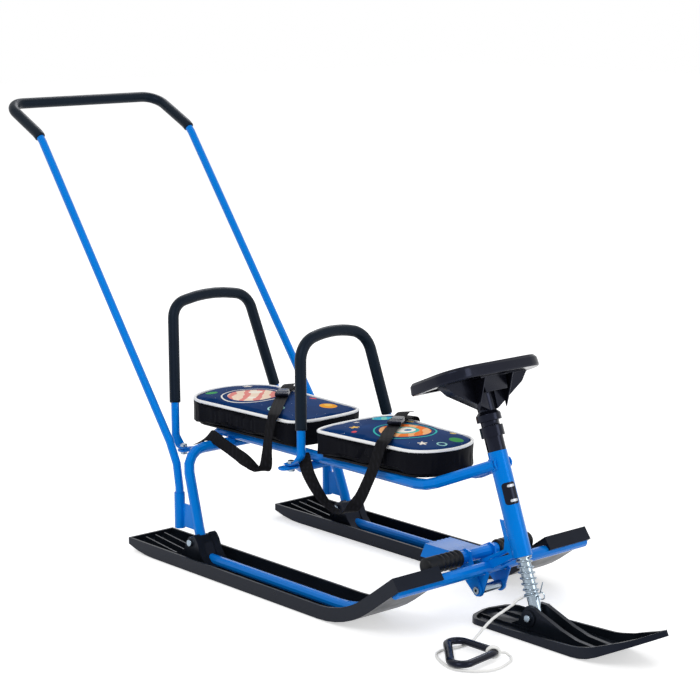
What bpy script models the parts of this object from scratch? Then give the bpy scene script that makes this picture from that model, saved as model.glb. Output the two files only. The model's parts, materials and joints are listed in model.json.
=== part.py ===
"""Two-seat snow sled with a push handle, a steered front ski and a foot brake.

Metres, +Z up, +X forward, +Y to the rider's left. Sizes are measured from a datum on the
ground under the seats; the datum is then shifted so that the origin lies under the middle
of the whole sled.
"""

import math

import bmesh
import bpy
import numpy as np
from mathutils import Matrix, Vector

# Clearances
GAP = 0.0003                 # between pieces that touch
RUN = 0.0004                 # radial play of a turning or sliding fit

# Rear skis
SKI_TRACK = 0.470            # over the outer walls of both skis
SKI_WIDTH = 0.105
SKI_HEIGHT = 0.025
SKI_SKIN = 0.004
SKI_HEEL_X = -0.326
SKI_HEEL_RUN = 0.076
SKI_HEEL_LIFT = 0.0120
SKI_TOE_X = 0.235
NOSE_RADIUS = 0.228
NOSE_ANGLE = math.radians(36)
NOSE_RUN = 0.090
RIDGE_DROP = 0.0015           # ridge crests below the rim
RIDGE_END_HEIGHT = 0.010
RIDGE_WIDTH = 0.003
RIDGE_PITCH = 0.022
RIDGE_START_X = -0.312
RIDGE_END_X = -0.202

# Ski clamps
CLAMP_REAR_X = -0.192
CLAMP_FRONT_X = -0.098
CLAMP_TOP_Z = 0.060
CLAMP_BOSS_D = 0.023
CLAMP_WEB_DROP = 0.0035       # filled middle below the cheeks
CLAMP_HALF_WIDTH = 0.026
CLAMP_BOLT_Z = 0.044
LEG_KNEE_Z = 0.066
BOLT_D = 0.008
HEAD_D = 0.0135
HEAD_HEIGHT = 0.005

# Frame tubes
TUBE_D = 0.020
CROSS_D = 0.022
CROSS_BACK = 0.0155          # cross tube axis behind the nose end
CROSS_RISE = 0.0035          # and above the nose underside
LEG_LEAN = 0.348
LEG_REF_X = -0.1985
LEG_REF_Z = 0.150
LEG_TOP_Z = 0.2065
LEG_TOE_IN = 0.0571
LEG_BEND = 0.045
BEAM_Y = 0.0625
BEAM_Z = 0.2235
BEAM_BEND = 0.030
BEAM_NOSE_X = 0.325
BEAM_NOSE_BEND = 0.080
BEAM_END_Y = 0.0115
BEAM_END_DROP = 0.022         # beam ends below the top of the head tube

# Crossbars with pressed flat ends
BAR_D = 0.016
REAR_BAR_X = -0.272
REAR_BAR_Z = 0.187
REAR_BAR_HALF = 0.149
FOOT_BAR_X = 0.025
FOOT_BAR_HALF = 0.142
PADDLE_LENGTH = 0.034
PADDLE_WIDTH = 0.024
PADDLE_THICK = 0.005

# Push handle
HANDLE_D = 0.016
HANDLE_OUTSET = 0.003         # handle legs outside the rear legs
HANDLE_HALF = (SKI_TRACK - SKI_WIDTH) / 2 + HANDLE_OUTSET
SOCKET_X = -0.225
SOCKET_D = 0.0205
SOCKET_BOTTOM_Z = 0.057
SOCKET_TOP_Z = 0.126
WEB_LOW = 0.004              # web plate above the socket's lower end
WEB_HIGH = 0.020             # and below its upper end
WEB_THICK = 0.004
HANDLE_INSERT = 0.055        # length of tube inside the socket
HANDLE_BEND_Z = 0.1827
HANDLE_BEND = 0.140
HANDLE_KNEE_X = -0.671
HANDLE_KNEE_Z = 0.775
HANDLE_KNEE_BEND = 0.060
HANDLE_BAR_X = -0.790
HANDLE_BAR_Z = 0.832
HANDLE_CORNER = 0.036
GRIP_D = 0.0215

# Backrest hoops
HOOP_D = 0.016
FOAM_D = 0.0215
TONGUE_THICK = 0.004
TONGUE_WIDTH = 0.021
HOOP_FOOT_BEND = 0.010
HOOP_ELBOW_BEND = 0.012
HOOP_ELBOW_RISE = 0.019
TONGUE_RUN = 0.009           # flat tongue past the bolt
HOOPS = {
    "rear": {"x": -0.3463, "lean": 0.2418, "half": 0.1029, "splay": 0.1765,
             "shoulder_z": 0.460, "crown_z": 0.4775, "shoulder_bend": 0.040,
             "crown_bend": 0.300, "foam_z": 0.276},
    "front": {"x": 0.0177, "lean": 0.1954, "half": 0.0860, "splay": 0.1641,
              "shoulder_z": 0.432, "crown_z": 0.4535, "shoulder_bend": 0.050,
              "crown_bend": 0.200, "foam_z": 0.279},
}
HOOP_REF_Z = 0.400

# Seats
SEAT_BASE_THICK = 0.0045
SEAT_BASE_INSET = 0.010
CUSHION_SIDE = 0.040         # from the base board to the piping shelf
CUSHION_CROWN = 0.009
CUSHION_WAIST = 0.0015
PIPING_D = 0.005
SEATS = {
    "rear": {"x0": -0.345, "x1": 0.006, "w0": 0.0995, "w1": 0.088,
             "round0": 0.075, "round1": 0.035, "power0": 2.0, "power1": 2.6},
    "front": {"x0": 0.053, "x1": 0.338, "w0": 0.0960, "w1": 0.080,
              "round0": 0.028, "round1": 0.060, "power0": 2.4, "power1": 2.0},
}
KNOB_X = 0.245
KNOB_Y = -0.030
KNOB_D = 0.022
KNOB_HEIGHT = 0.014

# Straps
STRAP_WIDTH = 0.019
STRAP_THICK = 0.0016
BUCKLE_LENGTH = 0.046
BUCKLE_WIDTH = 0.027
BUCKLE_THICK = 0.009

# Steering head
RAKE = math.radians(20.4)
HEAD_LENGTH = 0.1838
HEAD_TUBE_D = 0.034
HEAD_TUBE_WALL = 0.002
SHAFT_D = 0.0215
BUSH_LENGTH = 0.024
COLLAR_D = 0.0330
COLLAR_HEIGHT = 0.0250
BAND_D = 0.0415
BAND_HEIGHT = 0.0185
WASHER_D = 0.031
WASHER_THICK = 0.002
GUSSET_Y = 0.0125
GUSSET_THICK = 0.003
GUSSET_TOP_Z = 0.182
GUSSET_HUG = 0.0030          # plate edge beyond the head tube
GUSSET_WAIST_Z = 0.148
GUSSET_FOOT = 0.0205         # width of the strut on the cross tube
GUSSET_RIM = 0.0085

# Steering wheel, heights along the column above the head tube
WHEEL_HALF_WIDTH = 0.116
WHEEL_FRONT = 0.060
WHEEL_REAR = 0.057
WHEEL_FRONT_BEND = 0.045
WHEEL_REAR_BEND = 0.012
WHEEL_TILT = math.radians(2.6)   # plate against the square of the column
WHEEL_BOTTOM = 0.1245
WHEEL_TOP = 0.1455
HUB_D = 0.0325
HUB_RING_D = 0.044
HUB_RING_LOW = 0.0085        # ring above the hub's lower end
HUB_RING_HEIGHT = 0.0115
WING_HALF = 0.102
WING_LOW = 0.070
WING_KNEE = (0.082, 0.108)   # sideways place and height where the wing flattens
WING_REAR = -0.003           # fore-aft faces of the wings
WING_FRONT = 0.018
BOX_LOW = 0.100
BOX_HALF = 0.032
BOX_FRONT = 0.036
HAND_HOLE = (-0.045, -0.006, 0.046, 0.100)   # fore-aft and sideways limits

# Spring
SPRING_D = 0.029
SPRING_WIRE = 0.003
SPRING_LENGTH = 0.063
SPRING_TURNS = 7
SPRING_POINTS = 9

# Spring clip below the lower washer
CLIP_WIRE = 0.0022
CLIP_RING_D = 0.0125
CLIP_TAIL = 0.020
CLIP_DROP = 0.0032           # pin centre below the lower washer

# Front ski
PIVOT_X = 0.53445
PIVOT_Z = 0.027
WASHER_RISE = 0.03707        # lower spring washer above the pivot, along the column
FRONT_SKI_REAR_X = 0.412
FRONT_SKI_TIP_X = 0.817
FRONT_SKI_HALF = 0.055
FRONT_SKI_TOE_X = 0.660
FRONT_NOSE_RADIUS = 0.120
FRONT_NOSE_ANGLE = math.radians(26)
FRONT_RIM_REAR = 0.011
FRONT_RIM_MID = 0.020
FRONT_RIM_TIP = 0.010
FORK_THICK = 0.008
FORK_TOP_Z = 0.046
FORK_BOSS_D = 0.027
FORK_BOSS_OUT = 0.0025
FORK_OUTLINE = ((-0.044, 0.002), (0.162, 0.005), (0.156, 0.011), (0.105, 0.0145),
                (0.070, 0.0235), (0.040, 0.0345))      # from the pivot, and above the ground
FORK_REAR = ((-0.016, 0.034), (-0.026, 0.0170), (-0.042, 0.0090))
FRONT_RIB_Y = 0.021
FRONT_RIB_HEIGHT = 0.0045
FRONT_HEEL_RUN = 0.030
FRONT_TAPER_RUN = 0.135

# Brake
BRAKE_PIVOT_X = 0.420
BRAKE_PIVOT_Z = 0.051
BRACKET_Y = 0.0245
BRACKET_THICK = 0.003
BRAKE_TUBE_D = 0.016
BRAKE_EYE_D = 0.024
RIVET_FLANGE = 0.0025
RIVET_BORE = 0.0055
PEDAL_X = 0.390
PEDAL_Z = 0.105
PEDAL_D = 0.022
PEDAL_SIDE_GAP = 0.0015       # pedal ends inside the rear skis
PEDAL_HALF = SKI_TRACK / 2 - SKI_WIDTH - PEDAL_SIDE_GAP
PAD_D = 0.031
PAD_START = 0.045
PAD_SMOOTH = 0.030           # plain outer part of each sleeve
PAD_RIBS = 5
PAD_RIB_DEPTH = 0.0015
PAD_CAP = 0.0035
COMB_REAR_X = 0.290
COMB_HALF = 0.042
COMB_SKIRT = 0.018
COMB_THICK = 0.003
COMB_TEETH = 6
COMB_TOOTH = 0.007

# Pull rope and its handle
ROPE_D = 0.005
HANDLE_CORNERS = ((0.4707, -0.1537), (0.5861, -0.1492), (0.6010, -0.2660))
PULL_BAR_WIDTH = 0.0155
PULL_BAR_HEIGHT = 0.012
PULL_CORNER = 0.018

SIDES = 12                   # facets round a frame tube
SLIVER = 0.00001             # lengths below this count as nothing
BORE_SIDES = 18


def clear_scene():
    for old in list(bpy.data.objects):
        bpy.data.objects.remove(old, do_unlink=True)


def paint(name, colour, roughness, metallic=0.0):
    made = bpy.data.materials.new(name)
    made.use_nodes = True
    shader = made.node_tree.nodes["Principled BSDF"]
    shader.inputs["Base Color"].default_value = (*colour, 1.0)
    shader.inputs["Roughness"].default_value = roughness
    shader.inputs["Metallic"].default_value = metallic
    return made


PALETTE = {
    "frame": ((0.0, 0.155, 0.79), 0.30, 0.0),
    "ski": ((0.012, 0.013, 0.017), 0.38, 0.0),
    "foam": ((0.011, 0.014, 0.028), 0.75, 0.0),
    "rubber": ((0.010, 0.012, 0.014), 0.70, 0.0),
    "plastic": ((0.012, 0.012, 0.016), 0.35, 0.0),
    "zinc": ((0.62, 0.66, 0.70), 0.30, 1.0),
    "cover": ((0.002, 0.022, 0.110), 0.50, 0.0),
    "board": ((0.010, 0.010, 0.012), 0.60, 0.0),
    "webbing": ((0.010, 0.010, 0.012), 0.85, 0.0),
    "rope": ((0.80, 0.80, 0.78), 0.80, 0.0),
}


def tube_ring(centre, across, up, radius_across, radius_up, sides):
    turn = 2 * math.pi * (np.arange(sides) + 0.5) / sides
    return [centre + across * (radius_across * math.cos(t)) + up * (radius_up * math.sin(t))
            for t in turn]


def path_frames(points, first_across, closed=False):
    """Tangent, across and up vectors along a path, carried on without twist."""
    count = len(points)
    frames = []
    across = Vector(first_across).normalized()
    for i in range(count):
        if closed:
            tangent = points[(i + 1) % count] - points[i - 1]
        else:
            tangent = points[min(i + 1, count - 1)] - points[max(i - 1, 0)]
        tangent.normalize()
        across = (across - tangent * across.dot(tangent)).normalized()
        frames.append((tangent, across, tangent.cross(across)))
    return frames


def rounded(points, radii, step=math.radians(23), closed=False):
    """A polyline whose corners are arcs; radii holds one radius for each inner corner."""
    points = [Vector(p) for p in points]
    count = len(points)
    corners = range(count) if closed else range(1, count - 1)
    path = [] if closed else [points[0]]
    for i in corners:
        radius = radii[i] if closed else radii[i - 1]
        corner = points[i]
        arrive = (corner - points[i - 1]).normalized()
        leave = (points[(i + 1) % count] - corner).normalized()
        turn = arrive.angle(leave)
        reach = radius * math.tan(turn / 2)
        inward = (leave - arrive * math.cos(turn)) / math.sin(turn)
        start = corner - arrive * reach
        steps = max(2, math.ceil(turn / step))
        for k in range(steps + 1):
            angle = turn * k / steps
            path.append(start + inward * (radius * (1 - math.cos(angle)))
                        + arrive * (radius * math.sin(angle)))
    if not closed:
        path.append(points[-1])
    return path


def loft(rings, closed=False):
    """Skin over rings of equal count; open ends are capped."""
    bm = bmesh.new()
    rows = [[bm.verts.new(p) for p in ring] for ring in rings]
    count = len(rows[0])
    pairs = list(zip(rows, rows[1:]))
    if closed:
        pairs.append((rows[-1], rows[0]))
    for one, two in pairs:
        for i in range(count):
            j = (i + 1) % count
            bm.faces.new((one[i], one[j], two[j], two[i]))
    if not closed:
        bm.faces.new(list(reversed(rows[0])))
        bm.faces.new(rows[-1])
    bmesh.ops.recalc_face_normals(bm, faces=bm.faces)
    return bm


def sweep(path, radius, across, sides=SIDES, bore=0.0, closed=False, sizes=None):
    """Round bar along a path, or a tube when bore is given; sizes sets each ring's radii."""
    frames = path_frames(path, across, closed)
    sizes = sizes or [(radius, radius)] * len(path)
    outer = [tube_ring(p, f[1], f[2], s[0], s[1], sides)
             for p, f, s in zip(path, frames, sizes)]
    if not bore:
        return loft(outer, closed)
    inner = [tube_ring(p, f[1], f[2], bore, bore, sides) for p, f in zip(path, frames)]
    return loft(outer + inner[::-1], True)


def cylinder(start, end, radius, sides=SIDES, bore=0.0):
    start, end = Vector(start), Vector(end)
    line = (end - start).normalized()
    across = Vector((0, 1, 0)) if abs(line.y) < 0.9 else Vector((1, 0, 0))
    return sweep([start, end], radius, across, sides, bore)


def prism(outline, origin, side, up, start, end):
    """Flat outline in the side and up directions, drawn out along their normal."""
    origin, side, up = Vector(origin), Vector(side), Vector(up)
    normal = side.cross(up).normalized()
    rings = [[origin + side * a + up * b + normal * c for a, b in outline]
             for c in (start, end)]
    return loft(rings)


def merge(*parts):
    """One mesh from several separate bodies, for use as a single cutter."""
    whole = bmesh.new()
    for part in parts:
        scratch = bpy.data.meshes.new("scratch")
        part.to_mesh(scratch)
        whole.from_mesh(scratch)
        bpy.data.meshes.remove(scratch)
        part.free()
    return whole


def arc(centre, radius, start, end, steps):
    turn = np.linspace(start, end, steps + 1)
    return [(centre[0] + radius * math.cos(t), centre[1] + radius * math.sin(t))
            for t in turn]


class Sled:
    """Keeps the joint axes, the finish of each piece and the shift of the datum."""

    def __init__(self):
        back = HANDLE_BAR_X - GRIP_D / 2
        self.shift = -(FRONT_SKI_TIP_X + back) / 2
        self.pivots = {}
        self.finishes = {name: paint(name, *values) for name, values in PALETTE.items()}
        self.datum = self.empty("sled_datum", Vector((0, 0, 0)), None)
        self.datum.location = (self.shift, 0, 0)

    def empty(self, name, place, parent):
        made = bpy.data.objects.new(name, None)
        bpy.context.collection.objects.link(made)
        if parent:
            made.parent = parent
            made.location = place - self.pivots.get(parent.name, Vector((0, 0, 0)))
        self.pivots[name] = place
        return made

    def joint(self, name, place, parent=None):
        parent = bpy.data.objects[parent] if parent else self.datum
        return self.empty(name, Vector(place), parent)

    def add(self, name, bm, finish, body="sled_datum", hidden=False):
        bm.transform(Matrix.Translation(-self.pivots[body]))
        mesh = bpy.data.meshes.new(name)
        bm.to_mesh(mesh)
        bm.free()
        if finish:
            mesh.materials.append(self.finishes[finish])
        made = bpy.data.objects.new(name, mesh)
        bpy.context.collection.objects.link(made)
        made.parent = bpy.data.objects[body]
        if hidden:
            made.hide_render = True
            made.display_type = "WIRE"
        else:
            mesh.shade_smooth()
            mesh.set_sharp_from_angle(angle=math.radians(40))
        return made

    def shape(self, made, operation, bm):
        """Boolean of a piece with a helper body kept beside it."""
        helper = self.add(f"{made.name}.{operation.lower()}.{len(made.modifiers)}", bm,
                          None, made.parent.name, hidden=True)
        step = made.modifiers.new(operation.title(), "BOOLEAN")
        step.operation = operation
        step.solver = "EXACT"
        step.object = helper
        return made

    def cut(self, made, bm):
        return self.shape(made, "DIFFERENCE", bm)

    def join(self, made, bm):
        return self.shape(made, "UNION", bm)

    def curve(self, name, path, radius, resolution, finish, body="sled_datum"):
        data = bpy.data.curves.new(name, "CURVE")
        data.dimensions = "3D"
        data.bevel_depth = radius
        data.bevel_resolution = resolution
        data.use_fill_caps = True
        spline = data.splines.new("POLY")
        spline.points.add(len(path) - 1)
        pivot = self.pivots[body]
        for point, place in zip(spline.points, path):
            point.co = (*(place - pivot), 1.0)
        spline.use_smooth = True
        data.materials.append(self.finishes[finish])
        made = bpy.data.objects.new(name, data)
        bpy.context.collection.objects.link(made)
        made.parent = bpy.data.objects[body]
        return made


SIDE_NAMES = {-1: "right", 1: "left"}
X_AXIS = Vector((1, 0, 0))
Y_AXIS = Vector((0, 1, 0))
Z_AXIS = Vector((0, 0, 1))


def ski_y():
    return (SKI_TRACK - SKI_WIDTH) / 2


def heel_lift(x):
    share = min(max((x - SKI_HEEL_X) / SKI_HEEL_RUN, 0.0), 1.0)
    return SKI_HEEL_LIFT * (1 - share) ** 2


def ski_stations():
    """Underside points with their slope: heel curve, flat sole, nose arc and straight nose."""
    stations = []
    for t in (0.0, 0.35, 0.7, 1.0):
        x = SKI_HEEL_X + SKI_HEEL_RUN * t
        stations.append((x, heel_lift(x), 0.0))
    steps = 6
    for k in range(steps + 1):
        angle = NOSE_ANGLE * k / steps
        stations.append((SKI_TOE_X + NOSE_RADIUS * math.sin(angle),
                         NOSE_RADIUS * (1 - math.cos(angle)), angle))
    return stations


def nose_point(back, rise):
    """A point on the straight nose, back from its end and above its underside."""
    run = NOSE_RUN - back
    x = SKI_TOE_X + NOSE_RADIUS * math.sin(NOSE_ANGLE) + run * math.cos(NOSE_ANGLE)
    z = NOSE_RADIUS * (1 - math.cos(NOSE_ANGLE)) + run * math.sin(NOSE_ANGLE)
    return Vector((x - rise * math.sin(NOSE_ANGLE), 0, z + rise * math.cos(NOSE_ANGLE)))


def ski_loft(side, section, start_trim, end_trim):
    """Sweep an across-the-ski section along the sole; trims shorten both ends."""
    middle = side * ski_y()
    rings = []
    stations = ski_stations()
    first = stations[0]
    start = first[0] + start_trim
    stations[0] = (start, heel_lift(start), first[2])
    end = nose_point(end_trim, 0)
    stations.append((end.x, end.z, NOSE_ANGLE))
    for x, z, angle in stations:
        up = Vector((-math.sin(angle), 0, math.cos(angle)))
        rings.append([Vector((x, middle + v, z if h <= SKI_SKIN or x > SKI_TOE_X else 0.0))
                      + up * h for v, h in section])
    return loft(rings)


def leg_point(z, side):
    half = ski_y() - LEG_TOE_IN * max(z - LEG_KNEE_Z, 0.0)
    return Vector((LEG_REF_X - LEG_LEAN * (z - LEG_REF_Z), side * half, z))


RAIL_Z = SKI_SKIN + TUBE_D / 2 + 2 * GAP
LEG_FLOOR_Z = SKI_SKIN + GAP + TUBE_D / 2 * math.sin(math.atan(LEG_LEAN)) + 0.0005


def leg_path(side):
    corner = leg_point(LEG_TOP_Z, side)
    end = Vector((corner.x, side * BEAM_Y, LEG_TOP_Z))
    points = [leg_point(LEG_FLOOR_Z, side), leg_point(LEG_KNEE_Z, side), corner, end]
    return rounded(points, [LEG_BEND, LEG_BEND])


def cross_centre():
    return nose_point(CROSS_BACK, CROSS_RISE)


def rail_path(side):
    """Side rail: along the ski floor, up the nose, then down onto the cross tube."""
    y = side * ski_y()
    front_of_leg = leg_point(SKI_SKIN, side).x + TUBE_D / 2 / math.cos(math.atan(LEG_LEAN))
    start = Vector((front_of_leg + 0.002, y, RAIL_Z))
    path = [start]
    inner = NOSE_RADIUS - RAIL_Z
    for k in range(7):
        angle = NOSE_ANGLE * k / 6
        path.append(Vector((SKI_TOE_X + inner * math.sin(angle), y,
                            NOSE_RADIUS - inner * math.cos(angle))))
    dip = nose_point(CROSS_BACK + CROSS_D * 1.4, RAIL_Z)
    end = cross_centre()
    path.append(Vector((dip.x, y, dip.z)))
    path.append(Vector((end.x, y, end.z)))
    return path


def beam_path(side):
    head = head_point(-BEAM_END_DROP)
    rear = Vector((REAR_BAR_X, side * BEAM_Y, REAR_BAR_Z))
    rear_corner = Vector((REAR_BAR_X, side * BEAM_Y, BEAM_Z))
    nose = Vector((BEAM_NOSE_X, side * BEAM_Y, BEAM_Z))
    end = Vector((head.x, side * BEAM_END_Y, head.z))
    return rounded([rear, rear_corner, nose, end], [BEAM_BEND, BEAM_NOSE_BEND])


def column_axes():
    along = Vector((-math.sin(RAKE), 0, math.cos(RAKE)))
    forward = Vector((math.cos(RAKE), 0, math.sin(RAKE)))
    return along, forward


def head_top():
    """Top of the head tube: the pivot plus everything stacked along the column."""
    stack = WASHER_RISE + SPRING_LENGTH + WASHER_THICK + 2 * GAP + HEAD_LENGTH
    return Vector((PIVOT_X, 0, PIVOT_Z)) + column_axes()[0] * stack


def head_point(height, forward=0.0, sideways=0.0):
    """A point given by its height along the column, forward and sideways offsets."""
    along, ahead = column_axes()
    return head_top() + along * height + ahead * forward + Y_AXIS * sideways


def ring_on_column(low, high, radius, bore, sides=BORE_SIDES):
    return cylinder(head_point(low), head_point(high), radius, sides, bore)


def running_bore(diameter, sides=BORE_SIDES):
    """Bore radius whose flats still clear a round bar of this diameter."""
    return (diameter / 2 + RUN) / math.cos(math.pi / sides)


def pivot_point():
    return Vector((PIVOT_X, 0, PIVOT_Z))


def y_bolt(x, z, head_y, nut_y, diameter=BOLT_D):
    """Bolt along Y: hex head at head_y, hex nut at nut_y, both outside the grip."""
    way = 1 if nut_y > head_y else -1
    head_end = head_y - way * HEAD_HEIGHT
    nut_end = nut_y + way * HEAD_HEIGHT
    stations = [(head_end, HEAD_D / 2 * 0.9), (head_end + way * 0.001, HEAD_D / 2),
                (head_y, HEAD_D / 2), (head_y, diameter / 2),
                (nut_y, diameter / 2), (nut_y, HEAD_D / 2), (nut_end, HEAD_D / 2)]
    rings = [tube_ring(Vector((x, y, z)), X_AXIS, Z_AXIS, r, r, SIDES) for y, r in stations]
    return loft(rings)


def z_bolt(x, y, low, high):
    """Bolt along Z with its head above high and its nut below low."""
    stations = [(low - HEAD_HEIGHT, HEAD_D / 2), (low, HEAD_D / 2), (low, BOLT_D / 2),
                (high, BOLT_D / 2), (high, HEAD_D / 2),
                (high + HEAD_HEIGHT - 0.001, HEAD_D / 2), (high + HEAD_HEIGHT, HEAD_D / 2 * 0.85)]
    rings = [tube_ring(Vector((x, y, z)), X_AXIS, Y_AXIS, r, r, SIDES) for z, r in stations]
    return loft(rings)


def make_rear_ski(sled, side):
    half = SKI_WIDTH / 2
    y = side * ski_y()
    solid = [(-half, 0), (half, 0), (half, SKI_HEIGHT), (-half, SKI_HEIGHT)]
    ski = sled.add(f"rear_ski_{SIDE_NAMES[side]}", ski_loft(side, solid, 0, 0), "ski")
    wall = half - SKI_SKIN
    above = SKI_HEIGHT + 0.006
    channel = [(-wall, SKI_SKIN), (wall, SKI_SKIN), (wall, above), (-wall, above)]
    sled.cut(ski, ski_loft(side, channel, SKI_SKIN, SKI_SKIN))
    ridges = []
    xs = [RIDGE_START_X, RIDGE_START_X + SKI_HEEL_RUN * 0.3, SKI_HEEL_X + SKI_HEEL_RUN,
          RIDGE_END_X]
    foot = [(x, heel_lift(x) + SKI_SKIN / 2) for x in xs]
    crest = [(RIDGE_START_X, SKI_HEIGHT - 2 * RIDGE_DROP),
             (RIDGE_START_X + RIDGE_DROP, SKI_HEIGHT - RIDGE_DROP),
             (RIDGE_END_X - RIDGE_END_HEIGHT, SKI_SKIN + RIDGE_END_HEIGHT)]
    outline = foot + crest[::-1]
    for k in (-1, 0, 1):
        middle = y + k * RIDGE_PITCH
        ridges.append(prism(outline, (0, middle, 0), X_AXIS, Z_AXIS,
                            -RIDGE_WIDTH / 2, RIDGE_WIDTH / 2))
    slot_half = TUBE_D / 2 + 3 * GAP
    root = SKI_SKIN / 2
    bolt = clamp_bolt_place()
    boss = CLAMP_BOSS_D / 2
    slope = [(CLAMP_FRONT_X, root), (CLAMP_FRONT_X, SKI_SKIN + 0.003),
             (CLAMP_FRONT_X - 0.020, SKI_SKIN + 0.010),
             (CLAMP_FRONT_X - 0.034, SKI_SKIN + 0.024),
             (CLAMP_FRONT_X - 0.043, CLAMP_TOP_Z - 0.012),
             (CLAMP_FRONT_X - 0.050, CLAMP_TOP_Z - 0.003),
             (CLAMP_FRONT_X - 0.056, CLAMP_TOP_Z)]
    cheek = [(CLAMP_REAR_X, root), *slope]
    cheek += arc((bolt.x, bolt.z), boss, math.radians(65), math.radians(180), 4)
    cheek += [(CLAMP_REAR_X, SKI_SKIN + 0.010)]
    lean = math.atan(LEG_LEAN)
    front_face = TUBE_D / 2 / math.cos(lean) + GAP
    web = [(x, z - CLAMP_WEB_DROP) for x, z in slope[2:]]
    web_top = leg_point(web[-1][1], side).x + front_face
    web_foot = leg_point(root, side).x + front_face
    web = [(web_foot, root), (web[0][0], root)] + web + [(web_top, web[-1][1])]
    filled = prism(web, (0, y, 0), X_AXIS, Z_AXIS, -slot_half - SKI_SKIN / 4,
                   slot_half + SKI_SKIN / 4)
    for way in (-1, 1):
        start, end = sorted((way * slot_half, way * CLAMP_HALF_WIDTH))
        ridges.append(prism(cheek, (0, y, 0), X_AXIS, Z_AXIS, -end, -start))
    sled.join(ski, merge(*ridges))
    sled.join(ski, filled)
    sled.cut(ski, sweep(rail_path(side)[:2], TUBE_D / 2 + GAP, Y_AXIS))
    bore_reach = CLAMP_HALF_WIDTH + 0.005
    cross = cross_centre()
    slot_radius = CROSS_D / 2 + GAP
    nose_up = Vector((-math.sin(NOSE_ANGLE), 0, math.cos(NOSE_ANGLE)))
    nose_along = Vector((math.cos(NOSE_ANGLE), 0, math.sin(NOSE_ANGLE)))
    saddle = arc((0, 0), slot_radius / math.cos(math.pi / 24), 0, math.pi, 12)
    saddle += [(-slot_radius, -CROSS_RISE - 0.004), (slot_radius, -CROSS_RISE - 0.004)]
    outer = SKI_TRACK / 2 - SKI_SKIN
    inner = SKI_TRACK / 2 - SKI_WIDTH - 0.004
    if side > 0:
        span = (-outer, -inner)
    else:
        span = (inner, outer)
    saddle_body = prism(saddle, cross, nose_along, nose_up, *span)
    bore = cylinder((bolt.x, y - bore_reach, bolt.z), (bolt.x, y + bore_reach, bolt.z),
                    running_bore(BOLT_D, SIDES), SIDES)
    sled.cut(ski, merge(saddle_body, bore))
    dip = sweep(rail_path(side)[-3:], TUBE_D / 2 + GAP, Y_AXIS)
    sled.cut(ski, dip)
    weld = ski.modifiers.new("Weld", "WELD")
    weld.merge_threshold = SLIVER


def clamp_bolt_place():
    return leg_point(CLAMP_BOLT_Z, 1)


def make_ski_bolt(sled, side):
    place = clamp_bolt_place()
    y = side * ski_y()
    reach = CLAMP_HALF_WIDTH + GAP
    bolt = y_bolt(place.x, place.z, y - reach, y + reach)
    sled.add(f"ski_bolt_{SIDE_NAMES[side]}", bolt, "zinc")


def make_leg(sled, side):
    leg = sled.add(f"rear_leg_{SIDE_NAMES[side]}",
                   sweep(leg_path(side), TUBE_D / 2, Y_AXIS), "frame")
    sled.cut(leg, sweep(beam_path(side), TUBE_D / 2 + GAP, Y_AXIS))
    bolt = clamp_bolt_place()
    y = side * ski_y()
    sled.cut(leg, cylinder((bolt.x, y - 0.02, bolt.z), (bolt.x, y + 0.02, bolt.z),
                           running_bore(BOLT_D, SIDES), SIDES))


def make_rail(sled, side):
    rail = sled.add(f"side_rail_{SIDE_NAMES[side]}",
                    sweep(rail_path(side), TUBE_D / 2, Y_AXIS), "frame")
    cross = cross_centre()
    sled.cut(rail, cylinder((cross.x, side * 0.10, cross.z), (cross.x, side * 0.26, cross.z),
                            CROSS_D / 2 + GAP))


def make_cross_tube(sled):
    centre = cross_centre()
    half = SKI_TRACK / 2 - SKI_SKIN - 2 * GAP
    sled.add("front_cross_tube", cylinder((centre.x, -half, centre.z),
                                          (centre.x, half, centre.z), CROSS_D / 2), "frame")


def make_beam(sled, side):
    beam = sled.add(f"seat_beam_{SIDE_NAMES[side]}",
                    sweep(beam_path(side), TUBE_D / 2, Y_AXIS), "frame")
    sled.cut(beam, cylinder((REAR_BAR_X, side * 0.03, REAR_BAR_Z),
                            (REAR_BAR_X, side * 0.10, REAR_BAR_Z), BAR_D / 2 + GAP))
    sled.cut(beam, ring_on_column(-HEAD_LENGTH, 0.02, HEAD_TUBE_D / 2 + GAP, 0))


def make_socket(sled, side):
    y = side * HANDLE_HALF
    name = f"handle_socket_{SIDE_NAMES[side]}"
    socket = sled.add(name, cylinder((SOCKET_X, y, SOCKET_BOTTOM_Z),
                                     (SOCKET_X, y, SOCKET_TOP_Z), SOCKET_D / 2, BORE_SIDES),
                      "frame")
    low, high = SOCKET_BOTTOM_Z + WEB_LOW, SOCKET_TOP_Z - WEB_HIGH
    web = [(SOCKET_X + SOCKET_D * 0.35, low), (leg_point(low, 1).x, low),
           (leg_point(high, 1).x, high), (SOCKET_X + SOCKET_D * 0.35, high)]
    web_y = side * (HANDLE_HALF - 0.002)
    sled.join(socket, prism(web, (0, web_y, 0), X_AXIS, Z_AXIS,
                            -WEB_THICK / 2, WEB_THICK / 2))
    sled.cut(socket, cylinder((SOCKET_X, y, SOCKET_BOTTOM_Z - 0.01),
                              (SOCKET_X, y, SOCKET_TOP_Z + 0.01),
                              running_bore(HANDLE_D, BORE_SIDES), BORE_SIDES))
    sled.cut(socket, sweep(leg_path(side), TUBE_D / 2 + GAP, Y_AXIS))


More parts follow.
